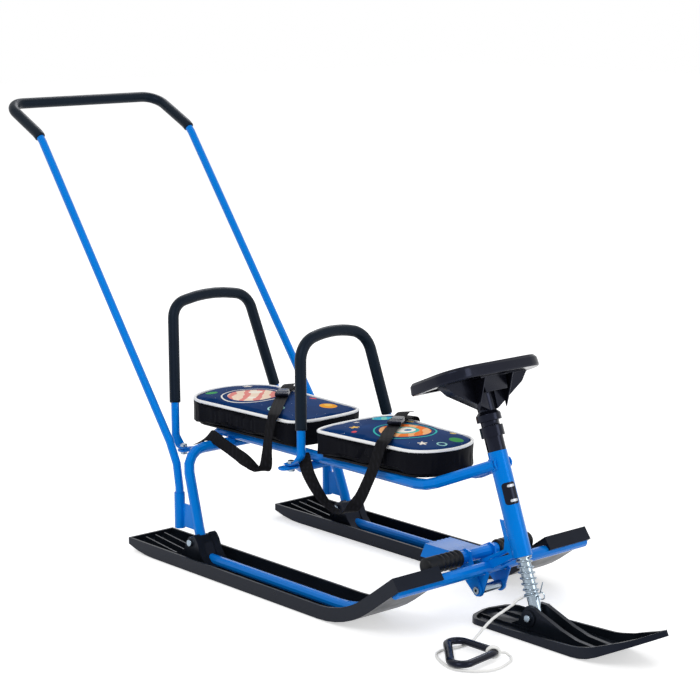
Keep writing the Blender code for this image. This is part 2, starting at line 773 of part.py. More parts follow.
def bar_sizes(half):
    """Stations along a crossbar with pressed ends: sideways place, width and height radii."""
    round_end = half - PADDLE_LENGTH - 0.012
    flat_start = half - PADDLE_LENGTH
    middle = [(0.0, BAR_D / 2, BAR_D / 2), (round_end, BAR_D / 2, BAR_D / 2)]
    paddle = [(flat_start, PADDLE_WIDTH / 2, PADDLE_THICK / 2),
              (half - PADDLE_WIDTH * 0.30, PADDLE_WIDTH / 2, PADDLE_THICK / 2),
              (half - PADDLE_WIDTH * 0.10, PADDLE_WIDTH * 0.40, PADDLE_THICK / 2),
              (half, PADDLE_WIDTH * 0.20, PADDLE_THICK / 2)]
    right = [(-y, a, b) for y, a, b in reversed(middle[1:] + paddle)]
    return right + middle[1:] + paddle


def paddle_ring(x, y, z, half_width, half_height):
    """Flattened ring: a rounded slab whose top lies level with the round tube's top."""
    centre = Vector((x, y, z + BAR_D / 2 - half_height))
    turn = 2 * math.pi * (np.arange(SIDES) + 0.5) / SIDES
    power = 0.35 if half_height < BAR_D / 2 else 1.0
    ring = []
    for t in turn:
        c, s = math.cos(t), math.sin(t)
        ring.append(centre + X_AXIS * (half_width * math.copysign(abs(c) ** power, c))
                    + Z_AXIS * (half_height * math.copysign(abs(s) ** power, s)))
    return ring


def make_bar(sled, name, x, z, half, bolt_y):
    rings = [paddle_ring(x, y, z, a, b) for y, a, b in bar_sizes(half)]
    bar = sled.add(name, loft(rings), "frame")
    holes = [cylinder((x, way * bolt_y, z - 0.02), (x, way * bolt_y, z + 0.02),
                      BOLT_D / 2 + GAP) for way in (-1, 1)]
    sled.cut(bar, merge(*holes))


def foot_bar_z():
    return BEAM_Z - TUBE_D / 2 - BAR_D / 2 - GAP


def hoop_bar(which):
    if which == "rear":
        return REAR_BAR_X, REAR_BAR_Z
    return FOOT_BAR_X, foot_bar_z()


def hoop_point(which, z, side):
    size = HOOPS[which]
    rise = z - HOOP_REF_Z
    return Vector((size["x"] - size["lean"] * rise,
                   side * (size["half"] - size["splay"] * rise), z))


def tongue_z(which):
    return hoop_bar(which)[1] + BAR_D / 2 + GAP + TONGUE_THICK / 2


def hoop_bolt_y(which):
    return abs(hoop_point(which, tongue_z(which), 1).y)


def hoop_path(which):
    """Hoop centre line from one foot over the crown to the other, with each ring's radii."""
    size = HOOPS[which]
    bar_x = hoop_bar(which)[0]
    low = tongue_z(which)
    foot = hoop_point(which, low, -1)
    elbow = hoop_point(which, low + HOOP_ELBOW_RISE, -1)
    way = 1 if bar_x > elbow.x else -1
    toe = Vector((bar_x + way * TONGUE_WIDTH / 2, foot.y, low))
    heel = Vector((bar_x - way * TONGUE_RUN, foot.y, low))
    points = [toe, heel, elbow, hoop_point(which, size["shoulder_z"], -1),
              Vector((hoop_point(which, size["crown_z"], 1).x, 0, size["crown_z"]))]
    mirrored = [Vector((p.x, -p.y, p.z)) for p in reversed(points[:-1])]
    bends = [HOOP_FOOT_BEND, HOOP_ELBOW_BEND, size["shoulder_bend"]]
    radii = bends + [size["crown_bend"]] + bends[::-1]
    path = rounded(points + mirrored, radii)
    sizes = []
    flat_z = low + 0.003
    round_z = low + HOOP_ELBOW_RISE + 0.003
    path = [path[0]] + insert_levels(path[1:-1], round_z) + [path[-1]]
    for point in path:
        press = min(max((round_z - point.z) / (round_z - flat_z), 0.0), 1.0)
        across = HOOP_D / 2 + press * (TONGUE_WIDTH - HOOP_D) / 2
        up = HOOP_D / 2 - press * (HOOP_D - TONGUE_THICK) / 2
        sizes.append((across, up))
    return path, sizes


def insert_levels(path, level):
    """Add a point wherever the path crosses a height."""
    out = [path[0]]
    for before, after in zip(path, path[1:]):
        if (before.z - level) * (after.z - level) < 0:
            share = (level - before.z) / (after.z - before.z)
            out.append(before.lerp(after, share))
        out.append(after)
    return out


def make_hoop(sled, which):
    path, sizes = hoop_path(which)
    hoop = sled.add(f"{which}_backrest_hoop",
                    sweep(path, HOOP_D / 2, Y_AXIS, sizes=sizes), "frame")
    x, z = hoop_bar(which)
    y = hoop_bolt_y(which)
    holes = [cylinder((x, way * y, z), (x, way * y, z + 0.03), BOLT_D / 2 + GAP)
             for way in (-1, 1)]
    sled.cut(hoop, merge(*holes))
    for way in (-1, 1):
        low = z + BAR_D / 2 - PADDLE_THICK - GAP
        high = tongue_z(which) + TONGUE_THICK / 2 + GAP
        sled.add(f"{which}_backrest_bolt_{SIDE_NAMES[way]}", z_bolt(x, way * y, low, high),
                 "zinc")
    make_foam(sled, which, path)


def make_foam(sled, which, path):
    start = HOOPS[which]["foam_z"]
    covered = insert_levels(path, start)
    covered = [p for p in covered if p.z >= start - SLIVER]
    foam = sweep(covered, FOAM_D / 2, Y_AXIS, bore=HOOP_D / 2 + GAP)
    sled.add(f"{which}_backrest_foam", foam, "foam")


def handle_path():
    bar = Vector((HANDLE_BAR_X, 0, HANDLE_BAR_Z))
    right = [Vector((SOCKET_X, -HANDLE_HALF, SOCKET_TOP_Z - HANDLE_INSERT)),
             Vector((SOCKET_X, -HANDLE_HALF, HANDLE_BEND_Z)),
             Vector((HANDLE_KNEE_X, -HANDLE_HALF, HANDLE_KNEE_Z)),
             Vector((bar.x, -HANDLE_HALF, bar.z))]
    left = [Vector((p.x, -p.y, p.z)) for p in reversed(right)]
    radii = [HANDLE_BEND, HANDLE_KNEE_BEND, HANDLE_CORNER,
             HANDLE_CORNER, HANDLE_KNEE_BEND, HANDLE_BEND]
    return rounded(right + left, radii)


def make_handle(sled):
    path = handle_path()
    sled.add("push_handle_tube", sweep(path, HANDLE_D / 2, Y_AXIS), "frame", "handle_lift")
    grip_start = HANDLE_KNEE_Z - 0.004
    covered = [p for p in insert_levels(path, grip_start) if p.z >= grip_start - SLIVER]
    grip = sweep(covered, GRIP_D / 2, Y_AXIS, bore=HANDLE_D / 2 + GAP)
    sled.add("push_handle_grip", grip, "foam", "handle_lift")


def seat_outline(which, inset=0.0, steps=6):
    """Closed seat outline: tapering sides and superelliptic ends, moved in by inset."""
    size = SEATS[which]
    right = []
    for k in range(steps + 1):
        angle = math.pi / 2 * k / steps
        x = size["x0"] + size["round0"] * (1 - math.cos(angle) ** (2 / size["power0"]))
        right.append((x, size["w0"] * math.sin(angle) ** (2 / size["power0"])))
    for k in range(steps + 1):
        angle = math.pi / 2 * (1 - k / steps)
        x = size["x1"] - size["round1"] * (1 - math.cos(angle) ** (2 / size["power1"]))
        right.append((x, size["w1"] * math.sin(angle) ** (2 / size["power1"])))
    loop = [(x, -y) for x, y in right] + [(x, y) for x, y in reversed(right[1:-1])]
    count = len(loop)
    moved = []
    for i in range(count):
        before, after = Vector(loop[i - 1]), Vector(loop[(i + 1) % count])
        along = (after - before).normalized()
        normal = Vector((-along.y, along.x))
        moved.append(Vector(loop[i]) + normal * inset)
    return moved


def seat_ring(which, inset, z):
    return [Vector((p.x, p.y, z)) for p in seat_outline(which, inset)]


def seat_base_z():
    return BEAM_Z + TUBE_D / 2 + GAP


def cushion_bottom_z():
    return seat_base_z() + SEAT_BASE_THICK + GAP


def make_seat(sled, which):
    low = seat_base_z()
    base = loft([seat_ring(which, SEAT_BASE_INSET, low),
                 seat_ring(which, SEAT_BASE_INSET, low + SEAT_BASE_THICK)])
    sled.add(f"{which}_seat_base", base, "board")
    bottom = cushion_bottom_z()
    shelf = bottom + CUSHION_SIDE
    step = PIPING_D + 2 * GAP
    brow = shelf + PIPING_D
    rings = [seat_ring(which, 0.004, bottom), seat_ring(which, 0.001, bottom + 0.005),
             seat_ring(which, CUSHION_WAIST, bottom + CUSHION_SIDE * 0.5),
             seat_ring(which, 0.0006, shelf - 0.004), seat_ring(which, 0.0003, shelf),
             seat_ring(which, step, shelf), seat_ring(which, step, brow - 0.001)]
    size = SEATS[which]
    middle = Vector(((size["x0"] + size["x1"]) / 2, 0))
    for share in (0.97, 0.82, 0.58, 0.30):
        z = brow + CUSHION_CROWN * (1 - share ** 2.4)
        rings.append([Vector((middle.x + (p.x - middle.x) * share, p.y * share, z))
                      for p in seat_outline(which, step)])
    sled.add(f"{which}_cushion", loft(rings), "cover")
    piping = seat_ring(which, PIPING_D / 2, shelf + PIPING_D / 2 + GAP)
    sled.add(f"{which}_seat_piping", sweep(piping, PIPING_D / 2, Z_AXIS, 6, closed=True),
             "rope")


def smooth_route(points, spacing):
    """Even points on a smooth curve through the given ones (Catmull-Rom)."""
    knots = [np.array(p, float) for p in points]
    knots = [2 * knots[0] - knots[1]] + knots + [2 * knots[-1] - knots[-2]]
    fine = []
    for a, b, c, d in zip(knots, knots[1:], knots[2:], knots[3:]):
        for t in np.linspace(0, 1, 24, endpoint=False):
            fine.append(0.5 * (2 * b + (c - a) * t + (2 * a - 5 * b + 4 * c - d) * t ** 2
                               + (3 * b - a - 3 * c + d) * t ** 3))
    fine.append(knots[-2])
    fine = np.array(fine)
    steps = np.linalg.norm(np.diff(fine, axis=0), axis=1)
    along = np.concatenate([[0], np.cumsum(steps)])
    count = max(2, round(along[-1] / spacing) + 1)
    wanted = np.linspace(0, along[-1], count)
    return [Vector([np.interp(s, along, fine[:, k]) for k in range(3)]) for s in wanted]


def ribbon(route, width, thick, spacing):
    """Flat strap along a route of (point, width direction) pairs."""
    points = smooth_route([p for p, _ in route], spacing)
    ways = smooth_route([w for _, w in route], 0.01)
    knots = [np.array(p, float) for p, _ in route]
    rings = []
    nearest = [int(np.argmin([(Vector(k) - p).length for p in points])) for k in knots]
    for i, point in enumerate(points):
        wide = np.array([np.interp(i, nearest, [w[k] for _, w in route]) for k in range(3)])
        ahead = points[min(i + 1, len(points) - 1)] - points[max(i - 1, 0)]
        ahead.normalize()
        wide = Vector(wide)
        wide = (wide - ahead * wide.dot(ahead)).normalized()
        up = ahead.cross(wide)
        rings.append([point + wide * (a * width / 2) + up * (b * thick / 2)
                      for a, b in ((-1, -1), (1, -1), (1, 1), (-1, 1))])
    return loft(rings)


def strap_height():
    """Centre of a strap lying on the piping."""
    return cushion_bottom_z() + CUSHION_SIDE + PIPING_D + CUSHION_CROWN + STRAP_THICK / 2 + 0.001


def strap_routes():
    top = strap_height()
    edge = top - 0.0075
    foot = foot_bar_z()
    rear = [((REAR_BAR_X - 0.004, -0.100, REAR_BAR_Z + 0.0115), (0.0, 1.0, 0.0)),
            ((-0.250, -0.106, 0.2125), (0.1, 1.0, 0.0)),
            ((-0.222, -0.110, 0.2262), (0.1, 1.0, 0.0)),
            ((-0.175, -0.114, 0.2150), (0.1, 1.0, 0.1)),
            ((-0.125, -0.113, 0.1985), (0.3, 0.9, 0.0)),
            ((-0.094, -0.111, 0.1850), (0.6, 0.7, 0.0)),
            ((-0.078, -0.110, 0.1880), (0.9, 0.4, 0.0)),
            ((-0.070, -0.107, 0.2150), (1.0, 0.2, 0.0)),
            ((-0.060, -0.1045, 0.2500), (1.0, 0.0, 0.0)),
            ((-0.049, -0.1005, edge - 0.004), (1.0, 0.1, 0.0)),
            ((-0.060, -0.084, top - 0.002), (0.85, 0.5, 0.0)),
            ((-0.115, -0.028, top + 0.001), (0.70, 0.70, 0.0)),
            ((-0.168, 0.028, top + 0.001), (0.70, 0.70, 0.0)),
            ((-0.222, 0.086, top - 0.002), (0.80, 0.60, 0.0)),
            ((-0.238, 0.1085, edge - 0.006), (1.0, 0.1, 0.0)),
            ((-0.252, 0.1110, 0.250), (1.0, 0.0, 0.0)),
            ((-0.268, 0.1060, 0.216), (0.9, 0.4, 0.0)),
            ((REAR_BAR_X - 0.004, 0.100, REAR_BAR_Z + 0.0125), (0.0, 1.0, 0.0))]
    front = [((0.052, -0.1440, foot + 0.004), (0.0, 0.35, 1.0)),
             ((0.070, -0.1400, 0.1930), (0.3, 0.6, 0.6)),
             ((0.098, -0.1280, 0.1710), (0.2, 1.0, 0.2)),
             ((0.124, -0.1180, 0.1560), (0.3, 0.9, 0.0)),
             ((0.150, -0.1120, 0.1500), (0.5, 0.8, 0.0)),
             ((0.174, -0.1070, 0.1580), (0.8, 0.5, 0.0)),
             ((0.195, -0.1020, 0.1800), (1.0, 0.2, -0.3)),
             ((0.213, -0.0990, 0.2130), (1.0, 0.1, -0.4)),
             ((0.229, -0.0960, 0.2480), (1.0, 0.1, -0.4)),
             ((0.242, -0.0935, edge - 0.004), (0.9, 0.1, -0.3)),
             ((0.236, -0.0760, top - 0.002), (0.85, 0.5, 0.0)),
             ((0.205, -0.0380, top + 0.001), (0.80, 0.60, 0.0)),
             ((0.165, 0.0200, top + 0.001), (0.80, 0.60, 0.0)),
             ((0.132, 0.0780, top - 0.002), (0.85, 0.5, 0.0)),
             ((0.122, 0.1020, edge - 0.006), (1.0, 0.1, 0.0)),
             ((0.121, 0.1045, 0.250), (1.0, 0.0, 0.0)),
             ((0.120, 0.0960, 0.222), (1.0, 0.0, 0.0)),
             ((0.118, 0.0780, 0.2120), (1.0, 0.0, 0.0)),
             ((0.118, 0.0600, 0.2085), (1.0, 0.0, 0.0))]
    return {"rear": rear, "front": front}


BUCKLE_PLACES = {
    "rear": ((-0.1500, 0.0090), (-0.0530, 0.0560)),
    "front": ((0.1735, 0.0080), (-0.0400, 0.0580)),
}


def make_strap(sled, which):
    route = strap_routes()[which]
    sled.add(f"{which}_strap", ribbon(route, STRAP_WIDTH, STRAP_THICK, 0.011), "webbing")
    (x, y), way = BUCKLE_PLACES[which]
    along = Vector((way[0], way[1], 0)).normalized()
    wide = Vector((along.y, -along.x, 0))
    low = strap_height() + 0.001 + STRAP_THICK / 2 + 0.0012
    length, width = BUCKLE_LENGTH / 2, BUCKLE_WIDTH / 2
    outline = [(-length, -width * 0.75), (-length * 0.2, -width), (length, -width * 0.85),
               (length, width * 0.85), (-length * 0.2, width), (-length, width * 0.75)]
    rings = []
    for z, shrink in ((low, 0.94), (low + 0.002, 1.0), (low + BUCKLE_THICK - 0.002, 1.0),
                      (low + BUCKLE_THICK, 0.88)):
        rings.append([Vector((x, y, z)) + along * (a * shrink) + wide * (b * shrink)
                      for a, b in outline])
    sled.add(f"{which}_buckle", loft(rings), "plastic")


def make_seat_knob(sled):
    top = seat_base_z() - GAP
    stem = BOLT_D / 2
    base = top - 0.016
    stations = [(base - KNOB_HEIGHT, KNOB_D * 0.42), (base - KNOB_HEIGHT * 0.8, KNOB_D / 2),
                (base - KNOB_HEIGHT * 0.2, KNOB_D / 2), (base, KNOB_D * 0.42),
                (base, stem), (top, stem)]
    rings = [tube_ring(Vector((KNOB_X, KNOB_Y, z)), X_AXIS, Y_AXIS, r, r, SIDES)
             for z, r in stations]
    sled.add("front_seat_knob", loft(rings), "plastic")


def make_head(sled):
    wall = HEAD_TUBE_D / 2 - HEAD_TUBE_WALL
    sled.add("head_tube", ring_on_column(-HEAD_LENGTH, 0, HEAD_TUBE_D / 2, wall), "frame")
    bore = running_bore(SHAFT_D)
    fit = (wall - GAP) * math.cos(math.pi / BORE_SIDES)
    lower = ring_on_column(-HEAD_LENGTH, -HEAD_LENGTH + BUSH_LENGTH, fit, bore)
    sled.add("lower_head_bush", lower, "plastic")
    collar_rings = []
    for height, radius in ((-BUSH_LENGTH, fit), (0.0, fit), (GAP, fit), (GAP, COLLAR_D / 2),
                           (COLLAR_HEIGHT, COLLAR_D / 2), (COLLAR_HEIGHT, BAND_D / 2),
                           (COLLAR_HEIGHT + BAND_HEIGHT, BAND_D / 2)):
        collar_rings.append((height, radius))
    outer = [column_ring(h, r) for h, r in collar_rings]
    top = collar_rings[-1][0]
    inner = [column_ring(top, bore), column_ring(-BUSH_LENGTH, bore)]
    sled.add("column_collar", loft(outer + inner, True), "plastic")
    washer_top = -HEAD_LENGTH - GAP
    washer = ring_on_column(washer_top - WASHER_THICK, washer_top, WASHER_D / 2, bore)
    sled.add("upper_spring_washer", washer, "zinc")


def column_ring(height, radius, sides=BORE_SIDES):
    _, ahead = column_axes()
    return tube_ring(head_point(height), ahead, Y_AXIS, radius, radius, sides)


def make_gusset(sled, side):
    """Plate with a window between the head tube and the cross tube."""
    cross = cross_centre()
    edge = HEAD_TUBE_D / 2 / math.cos(RAKE) + GUSSET_HUG
    axis = head_top()

    def tube_back(z, beyond):
        return (axis.x + (axis.z - z) * math.tan(RAKE) - edge - beyond, z)

    low = head_point(-HEAD_LENGTH + GUSSET_HUG)
    foot_back = cross.x - GUSSET_FOOT / 2
    outline = [(axis.x + (axis.z - GUSSET_TOP_Z) * math.tan(RAKE), GUSSET_TOP_Z),
               tube_back(GUSSET_TOP_Z, 0.0), tube_back(GUSSET_WAIST_Z, 0.0),
               tube_back(GUSSET_WAIST_Z - 0.017, 0.008),
               (foot_back - 0.001, cross.z + CROSS_D * 0.6), (foot_back, cross.z),
               (foot_back + GUSSET_FOOT, cross.z), (low.x, low.z)]
    y = side * GUSSET_Y
    plate = sled.add(f"head_gusset_{SIDE_NAMES[side]}",
                     prism(outline, (0, y, 0), X_AXIS, Z_AXIS,
                           -GUSSET_THICK / 2, GUSSET_THICK / 2), "frame")
    peak = tube_back(GUSSET_WAIST_Z - 0.022, -GUSSET_RIM / 2)
    window = [peak, (foot_back + GUSSET_RIM + 0.004, cross.z + CROSS_D * 0.62),
              (low.x - HEAD_TUBE_D / 2 - GUSSET_RIM, low.z + GUSSET_RIM / 2)]
    hole = prism(window, (0, y, 0), X_AXIS, Z_AXIS, -GUSSET_THICK, GUSSET_THICK)
    sled.cut(plate, merge(ring_on_column(-HEAD_LENGTH - 0.02, 0.0, HEAD_TUBE_D / 2 + GAP, 0),
                          hole))
    sled.cut(plate, cylinder((cross.x, y - 0.01, cross.z), (cross.x, y + 0.01, cross.z),
                             CROSS_D / 2 + GAP))


def make_bracket(sled, side):
    cross = cross_centre()
    eye = BRAKE_EYE_D / 2
    pivot = (BRAKE_PIVOT_X, BRAKE_PIVOT_Z)
    outline = arc(pivot, eye, math.radians(195), math.radians(345), 6)
    outline += [(cross.x + 0.018, cross.z - 0.004), (cross.x, cross.z),
                (cross.x - 0.022, cross.z - 0.006)]
    y = side * BRACKET_Y
    start, end = sorted((-y, -(y + side * BRACKET_THICK)))
    plate = sled.add(f"brake_bracket_{SIDE_NAMES[side]}",
                     prism(outline, (0, 0, 0), X_AXIS, Z_AXIS, start, end), "frame")
    sled.cut(plate, merge(cylinder((cross.x, y - 0.02, cross.z), (cross.x, y + 0.02, cross.z),
                                   CROSS_D / 2 + GAP),
                          cylinder((pivot[0], y - 0.02, pivot[1]),
                                   (pivot[0], y + 0.02, pivot[1]), BOLT_D / 2 + GAP)))


def arm_inner():
    return BRACKET_Y + BRACKET_THICK + RUN


def make_brake(sled):
    """Pivot tube, toothed plate with its arms, pedal tube and ribbed sleeves."""
    pivot = Vector((BRAKE_PIVOT_X, 0, BRAKE_PIVOT_Z))
    inner = arm_inner()
    outer = inner + COMB_THICK
    reach = outer + RUN
    flange = RIVET_FLANGE
    profile = [(-reach - flange, HEAD_D / 2), (-reach, HEAD_D / 2), (-reach, BOLT_D / 2),
               (reach, BOLT_D / 2), (reach, HEAD_D / 2), (reach + flange, HEAD_D / 2),
               (reach + flange, RIVET_BORE / 2), (-reach - flange, RIVET_BORE / 2)]
    rivet = [tube_ring(Vector((pivot.x, y, pivot.z)), X_AXIS, Z_AXIS, radius, radius,
                       BORE_SIDES) for y, radius in profile]
    sled.add("brake_pivot_rivet", loft(rivet, True), "zinc")
    half_sleeve = BRACKET_Y - RUN
    sleeve = cylinder((pivot.x, -half_sleeve, pivot.z), (pivot.x, half_sleeve, pivot.z),
                      BRAKE_TUBE_D / 2, BORE_SIDES, running_bore(BOLT_D))
    sled.add("brake_spacer_tube", sleeve, "zinc")
    deck = PEDAL_Z - COMB_THICK / 2
    front_x = PEDAL_X - PEDAL_D / 2 - 0.002
    half = COMB_HALF
    section = [(-half, deck - COMB_SKIRT), (-half + COMB_THICK, deck - COMB_SKIRT),
               (-half * 0.72 + COMB_THICK, deck), (half * 0.72 - COMB_THICK, deck),
               (half - COMB_THICK, deck - COMB_SKIRT), (half, deck - COMB_SKIRT),
               (half * 0.72, deck + COMB_THICK), (-half * 0.72, deck + COMB_THICK)]
    rings = [[Vector((x, y, z)) for y, z in section]
             for x in (COMB_REAR_X, front_x + 0.008)]
    comb = sled.add("brake_comb", loft(rings), "frame", "brake_pivot")
    teeth = []
    pitch = 2 * half * 0.7 / COMB_TEETH
    for k in range(COMB_TEETH):
        y = (k - (COMB_TEETH - 1) / 2) * pitch
        notch = [(-pitch * 0.28, -0.002), (pitch * 0.28, -0.002), (0, COMB_TOOTH)]
        teeth.append(prism(notch, (COMB_REAR_X, y, 0), Y_AXIS, X_AXIS,
                           -(deck + 0.01), -(deck - 0.01)))
    arms = []
    for side in (-1, 1):
        eye = BRAKE_EYE_D / 2 - 0.001
        outline = arc((pivot.x, pivot.z), eye, math.radians(-150), math.radians(20), 6)
        outline += [(PEDAL_X + 0.017, PEDAL_Z - 0.004), (PEDAL_X + 0.014, PEDAL_Z + 0.011),
                    (PEDAL_X, PEDAL_Z + 0.0145), (PEDAL_X - 0.026, PEDAL_Z + 0.001),
                    (PEDAL_X - 0.040, deck + 0.001), (PEDAL_X - 0.034, deck - 0.010)]
        start, end = sorted((-side * inner, -side * outer))
        arms.append(prism(outline, (0, 0, 0), X_AXIS, Z_AXIS, start, end))
    sled.join(comb, merge(*arms))
    pedal_hole = cylinder((PEDAL_X, -0.06, PEDAL_Z), (PEDAL_X, 0.06, PEDAL_Z),
                          PEDAL_D / 2 + GAP, BORE_SIDES)
    bolt_hole = cylinder((pivot.x, -0.06, pivot.z), (pivot.x, 0.06, pivot.z),
                         running_bore(BOLT_D), BORE_SIDES)
    sled.cut(comb, merge(pedal_hole, bolt_hole, *teeth))
    sled.add("brake_pedal_tube", cylinder((PEDAL_X, -PEDAL_HALF + PAD_CAP, PEDAL_Z),
                                          (PEDAL_X, PEDAL_HALF - PAD_CAP, PEDAL_Z),
                                          PEDAL_D / 2, SIDES), "frame", "brake_pivot")
    for side in (-1, 1):
        make_pad(sled, side)


def make_pad(sled, side):
    """Ribbed rubber sleeve closed at its outer end."""
    ribbed = PEDAL_HALF - PAD_SMOOTH
    pitch = (ribbed - PAD_START) / PAD_RIBS
    core = PAD_D / 2 - PAD_RIB_DEPTH
    bore = PEDAL_D / 2 + GAP
    stations = [(PEDAL_HALF - PAD_CAP + GAP, bore), (PAD_START, bore), (PAD_START, core)]
    for k in range(PAD_RIBS):
        y = PAD_START + k * pitch
        stations += [(y + pitch * 0.25, PAD_D / 2), (y + pitch * 0.70, PAD_D / 2),
                     (y + pitch * 0.95, core)]
    fat = PAD_D / 2 + PAD_RIB_DEPTH / 3
    stations += [(ribbed + pitch * 0.2, fat), (PEDAL_HALF - PAD_CAP, fat),
                 (PEDAL_HALF - PAD_CAP * 0.35, fat - PAD_CAP * 0.3),
                 (PEDAL_HALF, fat - PAD_CAP)]
    rings = [tube_ring(Vector((PEDAL_X, side * y, PEDAL_Z)), X_AXIS, Z_AXIS, radius, radius,
                       SIDES) for y, radius in stations]
    sled.add(f"brake_pedal_sleeve_{SIDE_NAMES[side]}", loft(rings), "rubber", "brake_pivot")


def wheel_outline():
    """Plate outline in forward and sideways offsets."""
    corners = [Vector((WHEEL_FRONT, -WHEEL_HALF_WIDTH, 0)), Vector((WHEEL_FRONT, WHEEL_HALF_WIDTH, 0)),
               Vector((-WHEEL_REAR, WHEEL_HALF_WIDTH, 0)), Vector((-WHEEL_REAR, -WHEEL_HALF_WIDTH, 0))]
    radii = [WHEEL_FRONT_BEND, WHEEL_FRONT_BEND, WHEEL_REAR_BEND, WHEEL_REAR_BEND]
    return [(p.x, p.y) for p in rounded(corners, radii, math.radians(18), closed=True)]


def make_wheel(sled):
    """Plate with hand openings, held by a ringed hub, two wings and a box under its middle."""
    along, ahead = column_axes()
    flat_ahead = ahead * math.cos(WHEEL_TILT) + along * math.sin(WHEEL_TILT)
    outline = wheel_outline()

    def level(height, shrink):
        return [head_point(height) + flat_ahead * (a * shrink) + Y_AXIS * (b * shrink)
                for a, b in outline]

    plate = loft([level(WHEEL_BOTTOM, 0.985), level(WHEEL_BOTTOM + 0.003, 1.0),
                  level(WHEEL_TOP - 0.005, 0.99), level(WHEEL_TOP, 0.95)])
    wheel = sled.add("steering_wheel", plate, "plastic", "steering_axis")
    inside = WHEEL_BOTTOM + (WHEEL_TOP - WHEEL_BOTTOM) / 3
    hub_low = COLLAR_HEIGHT + BAND_HEIGHT + GAP
    ring_low = hub_low + HUB_RING_LOW
    ring_top = ring_low + HUB_RING_HEIGHT
    profile = [(hub_low, HUB_D), (ring_low, HUB_D), (ring_low, HUB_RING_D),
               (ring_top, HUB_RING_D), (ring_top + 0.006, HUB_D), (inside, HUB_D)]
    sled.join(wheel, loft([column_ring(h, d / 2) for h, d in profile]))
    core = HUB_D / 2 * 0.6
    for side in (-1, 1):
        wing = [(core, WING_LOW), (WING_KNEE[0], WING_KNEE[1]), (WING_HALF, inside - 0.003),
                (WING_HALF - 0.004, inside), (core, inside)]
        rings = [[head_point(h, depth, side * y) for y, h in wing]
                 for depth in (WING_REAR, WING_FRONT)]
        sled.join(wheel, loft(rings))
    box = [(-BOX_HALF * 0.8, BOX_LOW), (BOX_HALF * 0.8, BOX_LOW), (BOX_HALF, inside),
           (-BOX_HALF, inside)]
    rings = [[head_point(h, depth, y) for y, h in box] for depth in (0.0, BOX_FRONT)]
    sled.join(wheel, loft(rings))
    holes = []
    rear, front, near, far = HAND_HOLE
    for side in (-1, 1):
        corners = [Vector((rear, side * near, 0)), Vector((front, side * near, 0)),
                   Vector((front, side * far, 0)), Vector((rear, side * far, 0))]
        loop = rounded(corners, [0.012] * 4, math.radians(30), closed=True)
        if side > 0:
            loop.reverse()
        holes.append(loft([[head_point(h, p.x, p.y) for p in loop]
                           for h in (WING_LOW, WHEEL_TOP + 0.01)]))
    holes.append(ring_on_column(hub_low - 0.01, WHEEL_BOTTOM + 0.0005, SHAFT_D / 2 + GAP, 0))
    sled.cut(wheel, merge(*holes))
    weld = wheel.modifiers.new("Weld", "WELD")
    weld.merge_threshold = SLIVER


def spring_path():
    """Coil with flat half turns at both ends, its wire resting on the washers."""
    top = -HEAD_LENGTH - GAP - WASHER_THICK - GAP
    radius = (SPRING_D - SPRING_WIRE) / 2
    travel = SPRING_LENGTH - SPRING_WIRE - 2 * GAP
    active = SPRING_TURNS - 1
    path = []
    for k in range(SPRING_TURNS * SPRING_POINTS + 1):
        turns = k / SPRING_POINTS
        share = min(max(turns - 0.5, 0.0), active) / active
        angle = 2 * math.pi * turns
        height = top - GAP - SPRING_WIRE / 2 - travel * share
        path.append(head_point(height, radius * math.cos(angle), radius * math.sin(angle)))
    return path


def least_gap(path, wire, apart):
    """Least distance between points of the path that lie apart along it, less the wire."""
    points = np.array(path)
    gaps = []
    for i in range(len(points) - apart):
        gaps.append(np.linalg.norm(points[i + apart:] - points[i], axis=1).min())
    return min(gaps) - wire


def lower_washer_top():
    return -HEAD_LENGTH - GAP - WASHER_THICK - GAP - SPRING_LENGTH


def make_column(sled):
    path = spring_path()
    sled.curve("suspension_spring", path, SPRING_WIRE / 2, 1, "zinc")
    gap = least_gap(path, SPRING_WIRE, int(SPRING_POINTS * 0.6))
    print(f"suspension spring: least gap to itself {gap * 1000:.2f} mm")
    bore = running_bore(SHAFT_D)
    top = lower_washer_top()
    washer = ring_on_column(top - WASHER_THICK, top, WASHER_D / 2, bore)
    sled.add("lower_spring_washer", washer, "zinc", "suspension_slide")
    pivot = pivot_point()
    end = pivot - column_axes()[0] * 0.0145
    shaft = sled.add("steering_shaft",
                     cylinder(end, head_point(WHEEL_BOTTOM - GAP), SHAFT_D / 2, BORE_SIDES),
                     "zinc", "steering_axis")
    pin = clip_height()
    ahead = column_axes()[1]
    pin_bore = cylinder(head_point(pin, -0.03), head_point(pin, 0.03), CLIP_WIRE / 2 + GAP)
    sled.cut(shaft, merge(cylinder((pivot.x, -0.03, pivot.z), (pivot.x, 0.03, pivot.z),
                                   running_bore(BOLT_D), BORE_SIDES), pin_bore))
    ring = CLIP_RING_D / 2
    start = head_point(pin, -SHAFT_D / 2 - 0.004)
    neck = SHAFT_D / 2 + 0.0045
    path = [start, head_point(pin, neck)]
    along = column_axes()[0]
    centre = head_point(pin, neck + ring)
    for k in range(1, 13):
        angle = math.pi + 2 * math.pi * 0.80 * k / 12
        path.append(centre + ahead * (ring * math.cos(angle)) + along * (ring * math.sin(angle)))
    last = path[-1]
    path.append(last + (along * 0.8 + ahead * 0.6) * CLIP_TAIL)
    sled.add("spring_clip", sweep(path, CLIP_WIRE / 2, Y_AXIS, 8), "zinc", "steering_axis")


def clip_height():
    return lower_washer_top() - WASHER_THICK - CLIP_DROP


